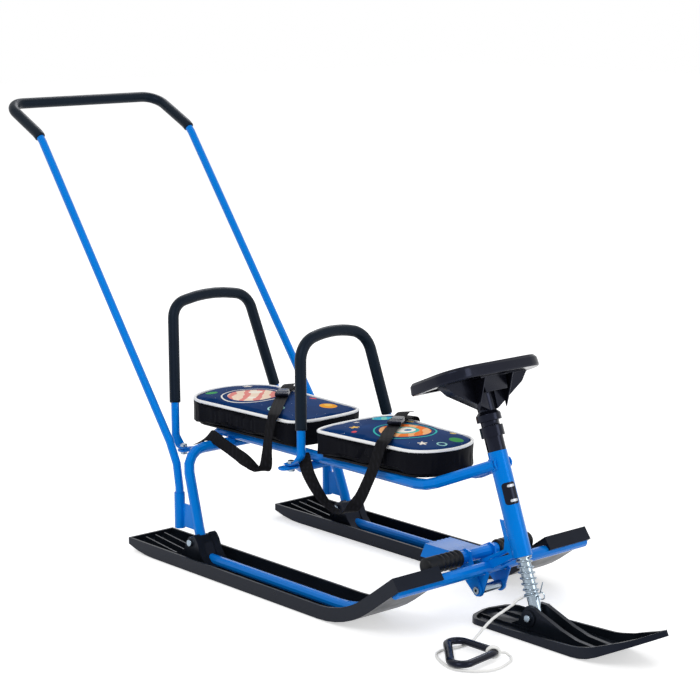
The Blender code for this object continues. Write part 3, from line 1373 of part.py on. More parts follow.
def front_ski_half(x):
    """Half width: round heel, straight middle and long taper to the tip."""
    heel, taper = FRONT_HEEL_RUN, FRONT_TAPER_RUN
    if x < FRONT_SKI_REAR_X + heel:
        share = (FRONT_SKI_REAR_X + heel - x) / heel
        return FRONT_SKI_HALF * max(1 - share ** 2.2, 0.02) ** 0.5
    start = FRONT_SKI_TIP_X - taper
    if x > start:
        share = (x - start) / taper
        return FRONT_SKI_HALF * max(1 - share ** 2.1, 0.004) ** 0.62
    return FRONT_SKI_HALF


def front_ski_sole(x):
    """Height and slope of the underside."""
    arc_run = FRONT_NOSE_RADIUS * math.sin(FRONT_NOSE_ANGLE)
    ahead = x - FRONT_SKI_TOE_X
    if ahead <= 0:
        return 0.0, 0.0
    if ahead <= arc_run:
        angle = math.asin(ahead / FRONT_NOSE_RADIUS)
        return FRONT_NOSE_RADIUS * (1 - math.cos(angle)), angle
    base = FRONT_NOSE_RADIUS * (1 - math.cos(FRONT_NOSE_ANGLE))
    return base + (ahead - arc_run) * math.tan(FRONT_NOSE_ANGLE), FRONT_NOSE_ANGLE


def front_rim(x):
    """Rim height above the sole: low heel, high at the toe, low tip."""
    xs = (FRONT_SKI_REAR_X, FRONT_SKI_REAR_X + 0.09, FRONT_SKI_TOE_X + 0.03,
          FRONT_SKI_TIP_X - 0.04, FRONT_SKI_TIP_X)
    ys = (FRONT_RIM_REAR, FRONT_RIM_REAR, FRONT_RIM_MID, FRONT_RIM_TIP, FRONT_RIM_TIP)
    return float(np.interp(x, xs, ys))


def front_ski_body(inset, floor, rise, trim):
    heel_end = FRONT_SKI_REAR_X + FRONT_HEEL_RUN * 1.15
    xs = list(np.linspace(FRONT_SKI_REAR_X + trim, heel_end, 5))
    xs += list(np.linspace(heel_end, FRONT_SKI_TOE_X - SLIVER, 4))[1:]
    xs += list(np.linspace(FRONT_SKI_TOE_X + 0.018, FRONT_SKI_TIP_X - trim, 9))
    rings = []
    for x in xs:
        reach = 1.5 * inset
        half = max(min(front_ski_half(x - reach), front_ski_half(x + reach)) - inset, 0.0015)
        z, angle = front_ski_sole(x)
        up = Vector((-math.sin(angle), 0, math.cos(angle)))
        top = front_rim(x) + rise
        base = Vector((x, 0, z))
        rings.append([base + Y_AXIS * v + up * h
                      for v, h in ((-half, floor), (half, floor), (half, top), (-half, top))])
    return loft(rings)


def make_front_ski(sled):
    ski = sled.add("front_ski", front_ski_body(0, 0, 0, 0), "ski", "front_ski_pivot")
    sled.cut(ski, front_ski_body(SKI_SKIN, SKI_SKIN, 0.004, SKI_SKIN))
    pivot = pivot_point()
    inner = SHAFT_D / 2 + RUN + GAP
    crown = [(0.016, FORK_TOP_Z - 0.003), (0.009, FORK_TOP_Z), (-0.008, FORK_TOP_Z)]
    cheek = [(pivot.x + run, z) for run, z in (*FORK_OUTLINE, *crown, *FORK_REAR)]
    parts = []
    boss = arc((pivot.x, pivot.z), FORK_BOSS_D / 2, 0, 2 * math.pi, 14)[:-1]
    rear_end = FRONT_SKI_REAR_X + SKI_SKIN / 2
    rib_foot = SKI_SKIN / 2
    rib = [(rear_end, rib_foot), (pivot.x, rib_foot), (pivot.x, SKI_SKIN + FRONT_RIB_HEIGHT),
           (rear_end, SKI_SKIN + FRONT_RIB_HEIGHT)]
    outer = inner + FORK_THICK
    for side in (-1, 1):
        start, end = sorted((-side * inner, -side * outer))
        parts.append(prism(cheek, (0, 0, 0), X_AXIS, Z_AXIS, start, end))
        start, end = sorted((-side * (outer - 0.001), -side * (outer + FORK_BOSS_OUT)))
        parts.append(prism(boss, (0, 0, 0), X_AXIS, Z_AXIS, start, end))
    sled.join(ski, merge(parts[0], parts[2]))
    sled.join(ski, merge(parts[1], parts[3]))
    ribs = [prism(rib, (0, side * FRONT_RIB_Y, 0), X_AXIS, Z_AXIS, -RIDGE_WIDTH / 2,
                  RIDGE_WIDTH / 2) for side in (-1, 1)]
    sled.join(ski, merge(*ribs))
    sled.cut(ski, cylinder((pivot.x, -0.04, pivot.z), (pivot.x, 0.04, pivot.z),
                           BOLT_D / 2 + GAP))
    weld = ski.modifiers.new("Weld", "WELD")
    weld.merge_threshold = SLIVER
    grip = outer + FORK_BOSS_OUT + GAP
    sled.add("front_ski_bolt", y_bolt(pivot.x, pivot.z, -grip, grip), "zinc",
             "front_ski_pivot")


ROPE_ROUTE = (
    (0.5105, -0.0310, 0.0500), (0.5085, -0.0560, 0.0410), (0.5070, -0.0790, 0.0330),
    (0.5060, -0.0980, 0.0220), (0.5060, -0.1160, 0.0100), (0.5085, -0.1330, 0.0032),
    (0.5110, -0.1500, 0.0027), (0.5080, -0.1670, 0.0027), (0.5040, -0.1860, 0.0027),
    (0.5040, -0.2020, 0.0027), (0.5130, -0.2170, 0.0027), (0.5320, -0.2285, 0.0027),
    (0.5560, -0.2380, 0.0027), (0.5790, -0.2410, 0.0027), (0.5955, -0.2335, 0.0027),
    (0.6110, -0.2210, 0.0027), (0.6230, -0.2040, 0.0027), (0.6250, -0.1820, 0.0027),
    (0.6190, -0.1580, 0.0030), (0.6110, -0.1400, 0.0050),
)


def pull_height():
    return ROPE_D + 2 * GAP + PULL_BAR_HEIGHT / 2


def apex_face():
    """Middle of the handle's outer face where the rope is tied, and the way out."""
    corner = Vector(HANDLE_CORNERS[1])
    first = (Vector(HANDLE_CORNERS[0]) - corner).normalized()
    second = (Vector(HANDLE_CORNERS[2]) - corner).normalized()
    away = -(first + second).normalized()
    half_angle = first.angle(second) / 2
    reach = PULL_CORNER / math.sin(half_angle) - PULL_CORNER
    face = corner + away * (PULL_BAR_WIDTH / 2 - reach)
    return face, away


def make_pull_rope(sled):
    z = pull_height()
    corners = [Vector((x, y, z)) for x, y in HANDLE_CORNERS]
    loop = rounded(corners, [PULL_CORNER] * 3, math.radians(24), closed=True)
    frames = path_frames(loop, (0, 0, 1), closed=True)
    rings = [tube_ring(p, f[1], f[2], PULL_BAR_HEIGHT / 2, PULL_BAR_WIDTH / 2, SIDES)
             for p, f in zip(loop, frames)]
    sled.add("pull_handle", loft(rings, True), "plastic", "suspension_slide")
    height = lower_washer_top() - WASHER_THICK / 2
    out = Vector((-math.cos(RAKE) * 0.62, -0.785, -math.sin(RAKE) * 0.62)).normalized()
    exit_point = head_point(height) + out * (WASHER_D / 2 + 3 * GAP)
    face, away = apex_face()
    away = Vector((away.x, away.y, 0))
    end = Vector((face.x, face.y, z)) + away * GAP
    lead = end + away * 0.010
    route = [exit_point, exit_point + out * 0.008, *ROPE_ROUTE, lead, end]
    path = smooth_route(route, ROPE_D * 2.5)
    sled.curve("pull_rope", path, ROPE_D / 2, 2, "rope", "suspension_slide")
    length = sum((b - a).length for a, b in zip(path, path[1:]))
    print(f"pull rope: {length:.3f} m, {len(path)} points")


def main():
    clear_scene()
    sled = Sled()
    sled.joint("handle_lift", (SOCKET_X, 0, SOCKET_TOP_Z))
    sled.joint("brake_pivot", (BRAKE_PIVOT_X, 0, BRAKE_PIVOT_Z))
    sled.joint("suspension_slide", head_point(-HEAD_LENGTH))
    sled.joint("steering_axis", head_point(0), "suspension_slide")
    sled.joint("front_ski_pivot", pivot_point(), "steering_axis")
    for side in (-1, 1):
        make_rear_ski(sled, side)
        make_ski_bolt(sled, side)
        make_leg(sled, side)
        make_rail(sled, side)
        make_beam(sled, side)
        make_socket(sled, side)
        make_gusset(sled, side)
        make_bracket(sled, side)
    make_cross_tube(sled)
    make_bar(sled, "rear_crossbar", REAR_BAR_X, REAR_BAR_Z, REAR_BAR_HALF,
             hoop_bolt_y("rear"))
    make_bar(sled, "foot_crossbar", FOOT_BAR_X, foot_bar_z(), FOOT_BAR_HALF,
             hoop_bolt_y("front"))
    for which in ("rear", "front"):
        make_hoop(sled, which)
        make_seat(sled, which)
        make_strap(sled, which)
    make_seat_knob(sled)
    make_handle(sled)
    make_head(sled)
    make_column(sled)
    make_wheel(sled)
    make_front_ski(sled)
    make_brake(sled)
    make_pull_rope(sled)


main()
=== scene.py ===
import json
import math

import bmesh
import bpy
import numpy as np
from mathutils import Matrix, Vector

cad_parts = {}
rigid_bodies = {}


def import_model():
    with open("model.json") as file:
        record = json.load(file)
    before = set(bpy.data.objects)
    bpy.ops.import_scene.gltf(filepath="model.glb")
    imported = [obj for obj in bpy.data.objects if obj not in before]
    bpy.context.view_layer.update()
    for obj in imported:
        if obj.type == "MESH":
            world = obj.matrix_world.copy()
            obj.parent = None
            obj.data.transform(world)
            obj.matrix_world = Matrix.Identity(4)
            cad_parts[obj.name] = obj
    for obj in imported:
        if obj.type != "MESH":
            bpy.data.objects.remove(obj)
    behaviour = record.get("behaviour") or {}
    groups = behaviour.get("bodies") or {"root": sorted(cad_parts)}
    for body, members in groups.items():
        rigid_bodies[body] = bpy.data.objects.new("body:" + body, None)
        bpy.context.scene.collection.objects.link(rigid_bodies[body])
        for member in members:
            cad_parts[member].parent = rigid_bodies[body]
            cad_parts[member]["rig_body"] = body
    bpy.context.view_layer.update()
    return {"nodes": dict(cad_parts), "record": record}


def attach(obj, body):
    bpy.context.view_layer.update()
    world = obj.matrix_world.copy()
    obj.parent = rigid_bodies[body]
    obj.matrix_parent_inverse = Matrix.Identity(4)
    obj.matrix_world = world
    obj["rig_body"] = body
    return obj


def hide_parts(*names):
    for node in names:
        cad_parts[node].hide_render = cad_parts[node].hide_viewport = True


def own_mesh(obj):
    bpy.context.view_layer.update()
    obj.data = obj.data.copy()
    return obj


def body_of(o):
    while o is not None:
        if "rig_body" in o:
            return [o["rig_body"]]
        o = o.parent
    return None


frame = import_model()
nodes = frame["nodes"]
slotOf = {item["node"]: item["material_slot"] for item in frame["record"]["subparts"]}
print("stage: frame loaded,", len(nodes), "nodes")

datumShift = np.array([-0.008125, 0.0, 0.0])   # the CAD measures from a datum under the seats


def hexLinear(code):
    # sRGB hex to linear: the sRGB curve undone channel by channel
    parts = np.array([int(code[i:i + 2], 16) for i in (1, 3, 5)]) / 255.0
    low = parts / 12.92
    high = ((parts + 0.055) / 1.055) ** 2.4
    return (*np.where(parts <= 0.04045, low, high).tolist(), 1.0)


def addNode(tree, kind, inputs, **settings):
    # one node; an input is a value, a hex colour, or the node or the output that feeds it
    made = tree.nodes.new("ShaderNode" + kind)
    for key, value in settings.items():
        setattr(made, key, value)
    feed(tree, made, inputs)
    return made


def feed(tree, made, inputs):
    # sets or links the inputs of a node that is there
    for name, value in inputs.items():
        if isinstance(value, bpy.types.Node):
            value = value.outputs[0]
        if isinstance(value, bpy.types.NodeSocket):
            tree.links.new(value, made.inputs[name])
        else:
            made.inputs[name].default_value = (hexLinear(value) if isinstance(value, str)
                                               else value)


def maths(tree, operation, *terms):
    # one math node, its terms numbers or outputs
    return addNode(tree, "Math", dict(enumerate(terms)), operation=operation)


def blend(tree, share, under, over):
    # under x (1 - share) + over x share, for two colours
    return addNode(tree, "Mix", {0: share, 6: under, 7: over}, data_type="RGBA").outputs[2]


def stretch(tree, value, tones, span=(0, 1)):
    # the value carried in a straight line from the span to the tones
    ends = zip(("From Min", "From Max", "To Min", "To Max"), (*span, *tones))
    return addNode(tree, "MapRange", {"Value": value, **dict(ends)})


def bump(tree, height, strength, depth):
    # relief from the height's pattern, for a shader's normal
    return addNode(tree, "Bump", {"Height": height, "Strength": strength, "Distance": depth})


def newObject(name, data):
    # an object of the data, linked to the scene
    made = bpy.data.objects.new(name, data)
    bpy.context.scene.collection.objects.link(made)
    return made


# camera: angles in degrees, the eye in metres, lens and sensor in millimetres
camera = {"azimuth": 48.6565, "elevation": 10.9753, "roll": -0.1891,
          "eye": (2.75238, -2.3776, 1.10749), "lens": 102.997, "sensor": 36,
          "shift": (-0.00102, 0.00597), "farthest": 50}


def addCamera(c):
    # columns of the matrix: right, up and backward, turned by azimuth, elevation and roll
    a, e, r = (math.radians(c[k]) for k in ("azimuth", "elevation", "roll"))
    right = Vector((math.cos(a), math.sin(a), 0))
    ahead = Vector((-math.sin(a) * math.cos(e), math.cos(a) * math.cos(e), -math.sin(e)))
    up = right.cross(ahead)
    right, up = right * math.cos(r) + up * math.sin(r), up * math.cos(r) - right * math.sin(r)
    data = bpy.data.cameras.new("photoCamera")
    data.sensor_width = c["sensor"]
    data.lens = c["lens"]
    data.shift_x, data.shift_y = c["shift"]
    data.clip_end = c["farthest"]
    made = newObject("photoCamera", data)
    turn = Matrix((right, up, -ahead)).transposed().to_4x4()
    made.matrix_world = Matrix.Translation(c["eye"]) @ turn
    bpy.context.scene.camera = made


addCamera(camera)

# studio: each lamp has its place, power in watts and width
studio = {"floorZ": -0.0015, "floorHalf": 14, "paper": 0.8, "glow": 0.54, "world": 0.62,
          "aim": (0, 0, 0.25),
          "lamps": {"keyLamp": ((1.6, -3.0, 3.4), 62, 1.8),
                    "fillLamp": ((3.6, 1.2, 1.6), 26, 1.6),
                    "backLamp": ((-2.4, 2.6, 3.0), 40, 1.8)}}


def addLamp(name, at, power, width, aim):
    # a square lamp whose -Z axis points from its place to the aim
    data = bpy.data.lights.new(name, "AREA")
    data.energy = power
    data.size = width
    made = newObject(name, data)
    made.location = at
    made.rotation_euler = (Vector(aim) - Vector(at)).to_track_quat("-Z", "Y").to_euler()


def seenRays(tree):
    # the larger of three: 1 for a ray from the eye, through glass or off a shine, else 0
    path = addNode(tree, "LightPath", {})
    seen = path.outputs["Is Camera Ray"]
    for kind in ("Is Transmission Ray", "Is Glossy Ray"):
        seen = maths(tree, "MAXIMUM", seen, path.outputs[kind])
    return seen


def addWorld(s):
    # white where it is seen, softer where it lights the sled
    world = bpy.data.worlds.new("studioWorld")
    bpy.context.scene.world = world
    world.use_nodes = True
    tree = world.node_tree
    tree.nodes.clear()
    soft, white = (addNode(tree, "Background", {"Color": "#ffffff", "Strength": amount})
                   for amount in (s["world"], 1.0))
    mix = addNode(tree, "MixShader", {0: seenRays(tree), 1: soft, 2: white})
    addNode(tree, "OutputWorld", {"Surface": mix})


def addFloor(s):
    # a square of pale paper that takes shadows and glows a little where it is seen
    mesh = bpy.data.meshes.new("floor")
    half = s["floorHalf"]
    corners = [(x * half, y * half, s["floorZ"]) for x, y in ((-1, -1), (1, -1), (1, 1), (-1, 1))]
    mesh.from_pydata(corners, [], [(0, 1, 2, 3)])
    newObject("floor", mesh)
    mat = bpy.data.materials.new("studioFloor")
    mat.use_nodes = True
    tree = mat.node_tree
    tree.nodes.clear()
    paper = addNode(tree, "BsdfDiffuse", {"Color": (*[s["paper"]] * 3, 1)})
    glow = addNode(tree, "Emission", {"Color": "#ffffff", "Strength": s["glow"]})
    both = addNode(tree, "AddShader", {0: paper, 1: glow})
    mix = addNode(tree, "MixShader", {0: seenRays(tree), 1: paper, 2: both})
    addNode(tree, "OutputMaterial", {"Surface": mix})
    mesh.materials.append(mat)


bpy.context.scene.view_settings.view_transform = "Standard"
addWorld(studio)
addFloor(studio)
for name, (at, power, width) in studio["lamps"].items():
    addLamp(name, at, power, width, studio["aim"])
print("stage: camera and studio")

# shared by the plain finishes: grain is the fine bump, patches the broad light and dark
surface = {"coatRoughness": 0.08, "grainDetail": 3, "grainDepth": 0.0004, "patchScale": 34,
           "patchDetail": 4, "patchSpan": (0.3, 0.7), "patchRoughness": 0.15}


def blankFinish(name):
    # an untouched principled material, its tree and its shader
    mat = bpy.data.materials.new(name)
    mat.use_nodes = True
    return mat, mat.node_tree, mat.node_tree.nodes["Principled BSDF"]


def shadeBy(tree, shader, pattern, colour, tones, span=(0, 1)):
    # the pattern's value, stretched from span to tones, multiplies the colour's brightness
    tone = stretch(tree, pattern, tones, span)
    tint = addNode(tree, "HueSaturation", {"Value": tone, "Color": colour})
    feed(tree, shader, {"Base Color": tint})


def newFinish(name, colour, roughness, metallic=0.0, coat=0.0, grain=None, specular=0.5,
              spread=0.0, sheen="#ffffff"):
    # grain is (size in mm, bump strength), spread how far the patches go from the colour,
    # sheen the tint of what the surface reflects
    mat, tree, shader = blankFinish(name)
    feed(tree, shader, {"Base Color": colour, "Roughness": roughness, "Metallic": metallic,
                        "Coat Weight": coat, "Coat Roughness": surface["coatRoughness"],
                        "Specular IOR Level": specular, "Specular Tint": sheen})
    where = addNode(tree, "TexCoord", {}).outputs["Object"]
    if grain:
        size, strength = grain
        noise = addNode(tree, "TexNoise", {"Vector": where, "Scale": 1000 / size,
                                           "Detail": surface["grainDetail"]})
        feed(tree, shader, {"Normal": bump(tree, noise.outputs["Fac"], strength,
                                           size * surface["grainDepth"])})
    if spread:
        span, change = surface["patchSpan"], surface["patchRoughness"]
        cloud = addNode(tree, "TexNoise", {"Vector": where, "Scale": surface["patchScale"],
                                           "Detail": surface["patchDetail"]}).outputs["Fac"]
        shadeBy(tree, shader, cloud, colour, (1 - spread, 1 + spread), span)
        ends = (roughness * (1 - change), roughness * (1 + change))
        feed(tree, shader, {"Roughness": stretch(tree, cloud, ends, span)})
    return mat


# webbing: the thread's real spacing in mm; its waves stand 2 pi threads apart, to show
# tones: how dark the painted shade in the grooves and how light the painted highlight on the raised
# yarn
weave = {"thread": 1.2, "roughness": 0.78, "specular": 0.12, "tilt": (0.3, 0.2),
         "turns": (0.785, -0.785), "waver": 0.4, "bump": 0.5, "depth": 0.0004,
         "tones": (0.7, 1.8)}


def woven(name, colour, w):
    # two sets of waves at right angles, multiplied, raise the yarn; the same pattern paints shade
    # into the grooves and a highlight on the raised threads
    mat = newFinish(name, colour, w["roughness"], specular=w["specular"])
    tree = mat.node_tree
    shader = tree.nodes["Principled BSDF"]
    where = addNode(tree, "TexCoord", {}).outputs["Object"]
    waves = []
    for turn in w["turns"]:
        place = addNode(tree, "Mapping", {"Vector": where, "Rotation": (*w["tilt"], turn)})
        wave = addNode(tree, "TexWave", {"Vector": place, "Scale": 1000 / w["thread"] / 20,
                                         "Distortion": w["waver"]})
        waves.append(wave.outputs["Fac"])
    both = maths(tree, "MULTIPLY", *waves)
    feed(tree, shader, {"Normal": bump(tree, both, w["bump"], w["depth"])})
    # painted shade and highlight: the colour is darker in the grooves and lighter on the raised
    # yarn, following the bump
    shadeBy(tree, shader, both, colour, w["tones"])
    return mat


# the print's shapes: (kind, ahead, left, size, colour), in metres over the seat
prints = {
    "rear": [("disc", -0.215, -0.012, 0.05, "#f3dcc6"),
             ("stripes", -0.215, -0.012, 0.05, "#e58d86"),
             ("disc", -0.232, 0.008, 0.014, "#f7efe2"), ("disc", -0.196, -0.03, 0.008, "#f7efe2"),
             ("ring", -0.215, -0.012, 0.061, "#f4f1ea"), ("disc", -0.052, 0.04, 0.017, "#f2a22b"),
             ("disc", -0.057, 0.044, 0.008, "#f8c75c"), ("disc", -0.098, -0.05, 0.01, "#2fb5b0"),
             ("ring", -0.098, -0.05, 0.015, "#9fd8d4"), ("disc", -0.12, 0.06, 0.007, "#de4f5a"),
             ("star", -0.3, 0.042, 0.012, "#f7efe2"), ("star", -0.06, -0.02, 0.009, "#f8c75c"),
             ("star", -0.115, 0.02, 0.007, "#f7efe2"), ("disc", -0.3, -0.048, 0.012, "#3f9a5a"),
             ("star", -0.02, -0.052, 0.007, "#f7efe2")],
    "front": [("disc", 0.205, 0, 0.047, "#ee7a2e"), ("stripes", 0.205, 0, 0.047, "#f2b27a"),
              ("disc", 0.205, 0, 0.026, "#3fb7ad"), ("disc", 0.205, 0, 0.019, "#f5efe4"),
              ("disc", 0.209, 0.003, 0.007, "#2b6f9c"), ("ring", 0.205, 0, 0.056, "#2fb5b0"),
              ("disc", 0.094, 0.046, 0.02, "#3bb3cf"), ("stripes", 0.094, 0.046, 0.02, "#7fd2c8"),
              ("disc", 0.305, 0.03, 0.013, "#3c9c50"), ("star", 0.12, -0.046, 0.011, "#f8c75c"),
              ("star", 0.288, -0.036, 0.01, "#f7efe2"), ("disc", 0.15, 0.064, 0.007, "#e2c26a"),
              ("disc", 0.268, 0.058, 0.006, "#e2c26a"), ("ring", 0.31, -0.01, 0.008, "#9fd8d4"),
              ("star", 0.085, -0.01, 0.007, "#f7efe2"), ("disc", 0.142, -0.066, 0.005, "#de4f5a")],
}
# the print's inks, its fine dots and bands, and the leathercloth below the seam
vinyl = {"navy": ("#031b45", "#073f7d"), "cloud": 11, "cloudDetail": 3, "dot": "#c9d6ea",
         "dotScale": 75, "dotSize": 0.055, "ringHalf": 0.0016, "starPoints": 5,
         "starSwing": 0.26, "starMiddle": 0.66, "bandScale": 16, "bandBend": 3.0,
         "bandRagged": 1.5, "bandShare": 0.62, "side": "#101117", "seam": 0.2812,
         "sideRoughness": 0.44, "topRoughness": 0.62, "specular": 0.03, "grit": 700,
         "gritBump": 0.12, "gritDepth": 0.0003}


def paintShape(tree, flat, under, shape, v):
    # a mask from the distance to the shape's centre, then the shape's colour through it
    kind, x, y, size, colour = shape
    centre = {0: flat, 1: (x + datumShift[0], y, 0)}
    far = addNode(tree, "VectorMath", centre, operation="DISTANCE").outputs["Value"]
    if kind == "ring":
        mask = maths(tree, "COMPARE", far, size, v["ringHalf"])
    elif kind == "star":
        # the allowed radius swings with five times the angle round the centre
        away = addNode(tree, "VectorMath", centre, operation="SUBTRACT")
        axes = addNode(tree, "SeparateXYZ", {0: away})
        angle = maths(tree, "ARCTAN2", axes.outputs[1], axes)
        swing = maths(tree, "COSINE", maths(tree, "MULTIPLY", angle, v["starPoints"]))
        limit = maths(tree, "MULTIPLY_ADD", swing, size * v["starSwing"],
                      size * v["starMiddle"])
        mask = maths(tree, "LESS_THAN", far, limit)
    else:
        mask = maths(tree, "LESS_THAN", far, size)
    if kind == "stripes":
        wave = addNode(tree, "TexWave", {"Vector": flat, "Scale": v["bandScale"],
                                         "Distortion": v["bandBend"], "Detail": 1,
                                         "Detail Scale": v["bandRagged"]},
                       bands_direction="DIAGONAL")
        bands = maths(tree, "GREATER_THAN", wave.outputs["Fac"], v["bandShare"])
        mask = maths(tree, "MULTIPLY", mask, bands)
    return blend(tree, mask, under, colour)


def printedVinyl(name, shapes, v):
    # a satin print over cloudy navy above the seam, black leathercloth on the sides below it
    mat, tree, shader = blankFinish(name)
    where = addNode(tree, "TexCoord", {}).outputs["Object"]
    axes = addNode(tree, "SeparateXYZ", {0: where})
    flat = addNode(tree, "CombineXYZ", {0: axes, 1: axes.outputs[1]})
    cloud = addNode(tree, "TexNoise", {"Vector": flat, "Scale": v["cloud"],
                                       "Detail": v["cloudDetail"]})
    specks = addNode(tree, "TexVoronoi", {"Vector": flat, "Scale": v["dotScale"]})
    dots = maths(tree, "LESS_THAN", specks.outputs["Distance"], v["dotSize"])
    colour = blend(tree, dots, blend(tree, cloud.outputs["Fac"], *v["navy"]), v["dot"])
    for shape in shapes:
        colour = paintShape(tree, flat, colour, shape, v)
    above = maths(tree, "GREATER_THAN", axes.outputs[2], v["seam"])
    grit = addNode(tree, "TexVoronoi", {"Vector": where, "Scale": v["grit"]})
    rough = (v["sideRoughness"], v["topRoughness"])
    feed(tree, shader, {"Specular IOR Level": v["specular"],
                        "Base Color": blend(tree, above, v["side"], colour),
                        "Roughness": stretch(tree, above, rough),
                        "Normal": bump(tree, grit.outputs["Distance"], v["gritBump"],
                                       v["gritDepth"])})
    return mat


darkSheen = "#aab4dc"                           # painted reflection colour: the black plastics' reflections of the white world are tinted cool blue
finishes = {
    # gloss powder coat on steel: clear saturated blue with a fine orange peel; its reflections
    # carry a painted blue tint
    "frame": newFinish("bluePowderCoat", "#0079d8", 0.24, coat=0.06, grain=(2.2, 0.04),
                       specular=0.7, spread=0.03, sheen="#1890ff"),
    # moulded polyethylene: near black, soft sheen, faint moulding clouds
    "ski": newFinish("blackPolyethylene", "#12161c", 0.32, grain=(1.5, 0.06), specular=0.22,
                     sheen=darkSheen, spread=0.12),
    # closed-cell foam rubber: blue black, dull, with fine pores
    "foam": newFinish("foamRubber", "#0d1820", 0.42, grain=(0.9, 0.2), specular=0.2,
                      sheen=darkSheen, spread=0.08),
    # moulded rubber: black and dull
    "rubber": newFinish("ribbedRubber", "#101216", 0.45, grain=(1.0, 0.12), specular=0.2,
                        spread=0.08),
    # glass-filled nylon: black with a low satin shine
    "plastic": newFinish("blackNylon", "#0b0c12", 0.20, grain=(1.2, 0.04), specular=0.36,
                         sheen=darkSheen, spread=0.08),
    # bright zinc plate on steel wire and washers: grey with sharp white glints
    "zinc": newFinish("zincPlate", "#97a5b1", 0.22, 1.0, grain=(1.4, 0.05), spread=0.05),
    # painted board under the pads: flat black
    "board": newFinish("paintedBoard", "#0f1013", 0.55, grain=(1.6, 0.1), specular=0.15,
                       spread=0.1),
    # nylon webbing: black, dull, with its weave in relief
    "webbing": woven("blackWebbing", "#101014", weave),
    # braided polypropylene: white and dull
    "rope": newFinish("whiteCord", "#f0f0ee", 0.75, grain=(0.8, 0.3), specular=0.3, spread=0.02),
    # silver ink on a black film: half metallic, with a dull shine
    "silverPrint": newFinish("silverPrint", "#b9bec6", 0.35, 0.6, grain=(0.8, 0.04), spread=0.03),
    # welted vinyl edge: clean white
    "piping": newFinish("whiteWelt", "#f4f5f6", 0.42, grain=(1.2, 0.08), spread=0.01),
}
covers = {which: printedVinyl("printedVinyl" + which.capitalize(), shapes, vinyl)
          for which, shapes in prints.items()}
finishes["cover"] = covers["rear"]              # for the CAD's own cushions, both replaced below
for name, obj in nodes.items():
    obj.data.materials.clear()
    obj.data.materials.append(finishes[slotOf[name]])
print("stage: finishes")

# the steering column: degrees that it leans back, the ski's pivot, and from there to the top
column = {"rake": 20.4, "pivot": (0.53445, 0, 0.027), "toTop": 0.28647}
yAxis, zAxis = np.eye(3)[1:]
rake = math.radians(column["rake"])
columnUp = np.array([-math.sin(rake), 0, math.cos(rake)])
columnAhead = np.array([math.cos(rake), 0, math.sin(rake)])
pivot = np.array(column["pivot"])
headTop = pivot + columnUp * column["toTop"]


def columnPoint(height, ahead=0.0, aside=0.0):
    # height up the column from the head tube's top, plus offsets ahead and to the left
    height, ahead, aside = (np.asarray(v, float)[..., None] for v in (height, ahead, aside))
    return headTop + height * columnUp + ahead * columnAhead + aside * yAxis


def unit(v):
    # each vector over its own length
    return v / np.linalg.norm(v, axis=-1, keepdims=True)


def roundedPath(points, radii, step=5.0):
    # a polyline whose inner corners are arcs, with a point every few degrees
    points = [np.array(p, float) for p in points]
    out = [points[0][None]]
    for before, corner, after, radius in zip(points, points[1:], points[2:], radii):
        arrive, leave = unit(corner - before), unit(after - corner)
        turn = math.acos(float(np.clip(arrive @ leave, -1, 1)))
        inward = (leave - arrive * math.cos(turn)) / math.sin(turn)
        start = corner - arrive * radius * math.tan(turn / 2)
        angle = np.linspace(0, turn, max(3, int(math.degrees(turn) / step) + 2))[:, None]
        out.append(start + inward * radius * (1 - np.cos(angle)) + arrive * radius * np.sin(angle))
    out.append(points[-1][None])
    return np.concatenate(out)


def smoothRoute(points, spacing, between=24):
    # Catmull-Rom curve through the points, then even steps along it
    p = np.array(points, float)
    p = np.concatenate([[2 * p[0] - p[1]], p, [2 * p[-1] - p[-2]]])
    t = np.linspace(0, 1, between, endpoint=False)[None, :, None]
    a, b, c, d = (p[i:len(p) - 3 + i, None] for i in range(4))
    fine = 0.5 * (2 * b + (c - a) * t + (2 * a - 5 * b + 4 * c - d) * t ** 2
                  + (3 * b - a - 3 * c + d) * t ** 3)
    fine = np.concatenate([fine.reshape(-1, p.shape[1]), p[-2:-1]])
    return evenSteps(fine, spacing)


def evenSteps(path, spacing=None, stations=None):
    # the path read off at even steps, or at given distances along it
    along = np.concatenate([[0], np.cumsum(np.linalg.norm(np.diff(path, axis=0), axis=1))])
    if stations is None:
        stations = np.linspace(0, along[-1], max(2, round(along[-1] / spacing) + 1))
    return np.stack([np.interp(stations, along, axis) for axis in path.T], -1)


def pathLength(path):
    # the sum of the steps
    return float(np.linalg.norm(np.diff(path, axis=0), axis=1).sum())


def frames(path, reference, closed=False):
    # across = reference x tangent, up = tangent x across
    if closed:
        tangent = unit(np.roll(path, -1, 0) - np.roll(path, 1, 0))
    else:
        tangent = unit(np.gradient(path, axis=0))
    across = unit(np.cross(np.broadcast_to(reference, tangent.shape), tangent))
    return across, np.cross(tangent, across)


def tubeGrid(path, radius, reference, sides=24, closed=False, flat=1.0):
    # a circle (or an ellipse, flattened upwards) carried along the path
    across, up = frames(path, reference, closed)
    turn = 2 * math.pi * (np.arange(sides) + 0.5) / sides
    radius = np.asarray(radius, float)
    radius = radius.reshape(-1, 1) if radius.ndim == 1 else radius
    radius = np.broadcast_to(radius, (len(path), sides))[..., None]
    return (path[:, None] + across[:, None] * radius * np.cos(turn)[:, None]
            + up[:, None] * radius * flat * np.sin(turn)[:, None])


def softEnds(path, radius, ending, steps=7, spacing=0.006):
    # stations crowd at both ends, where the radius closes in a quarter round
    total = pathLength(path)
    bow = 1 - np.cos(np.linspace(0, math.pi / 2, steps))
    middle = np.linspace(ending, total - ending, max(3, int(total / spacing)))
    stations = np.concatenate([bow * ending, middle[1:-1], total - bow[::-1] * ending])
    near = np.minimum(np.minimum(stations, total - stations) / ending, 1)
    closing = ending * (1 - np.sqrt(1 - (1 - near) ** 2))
    return evenSteps(path, stations=stations), radius - closing


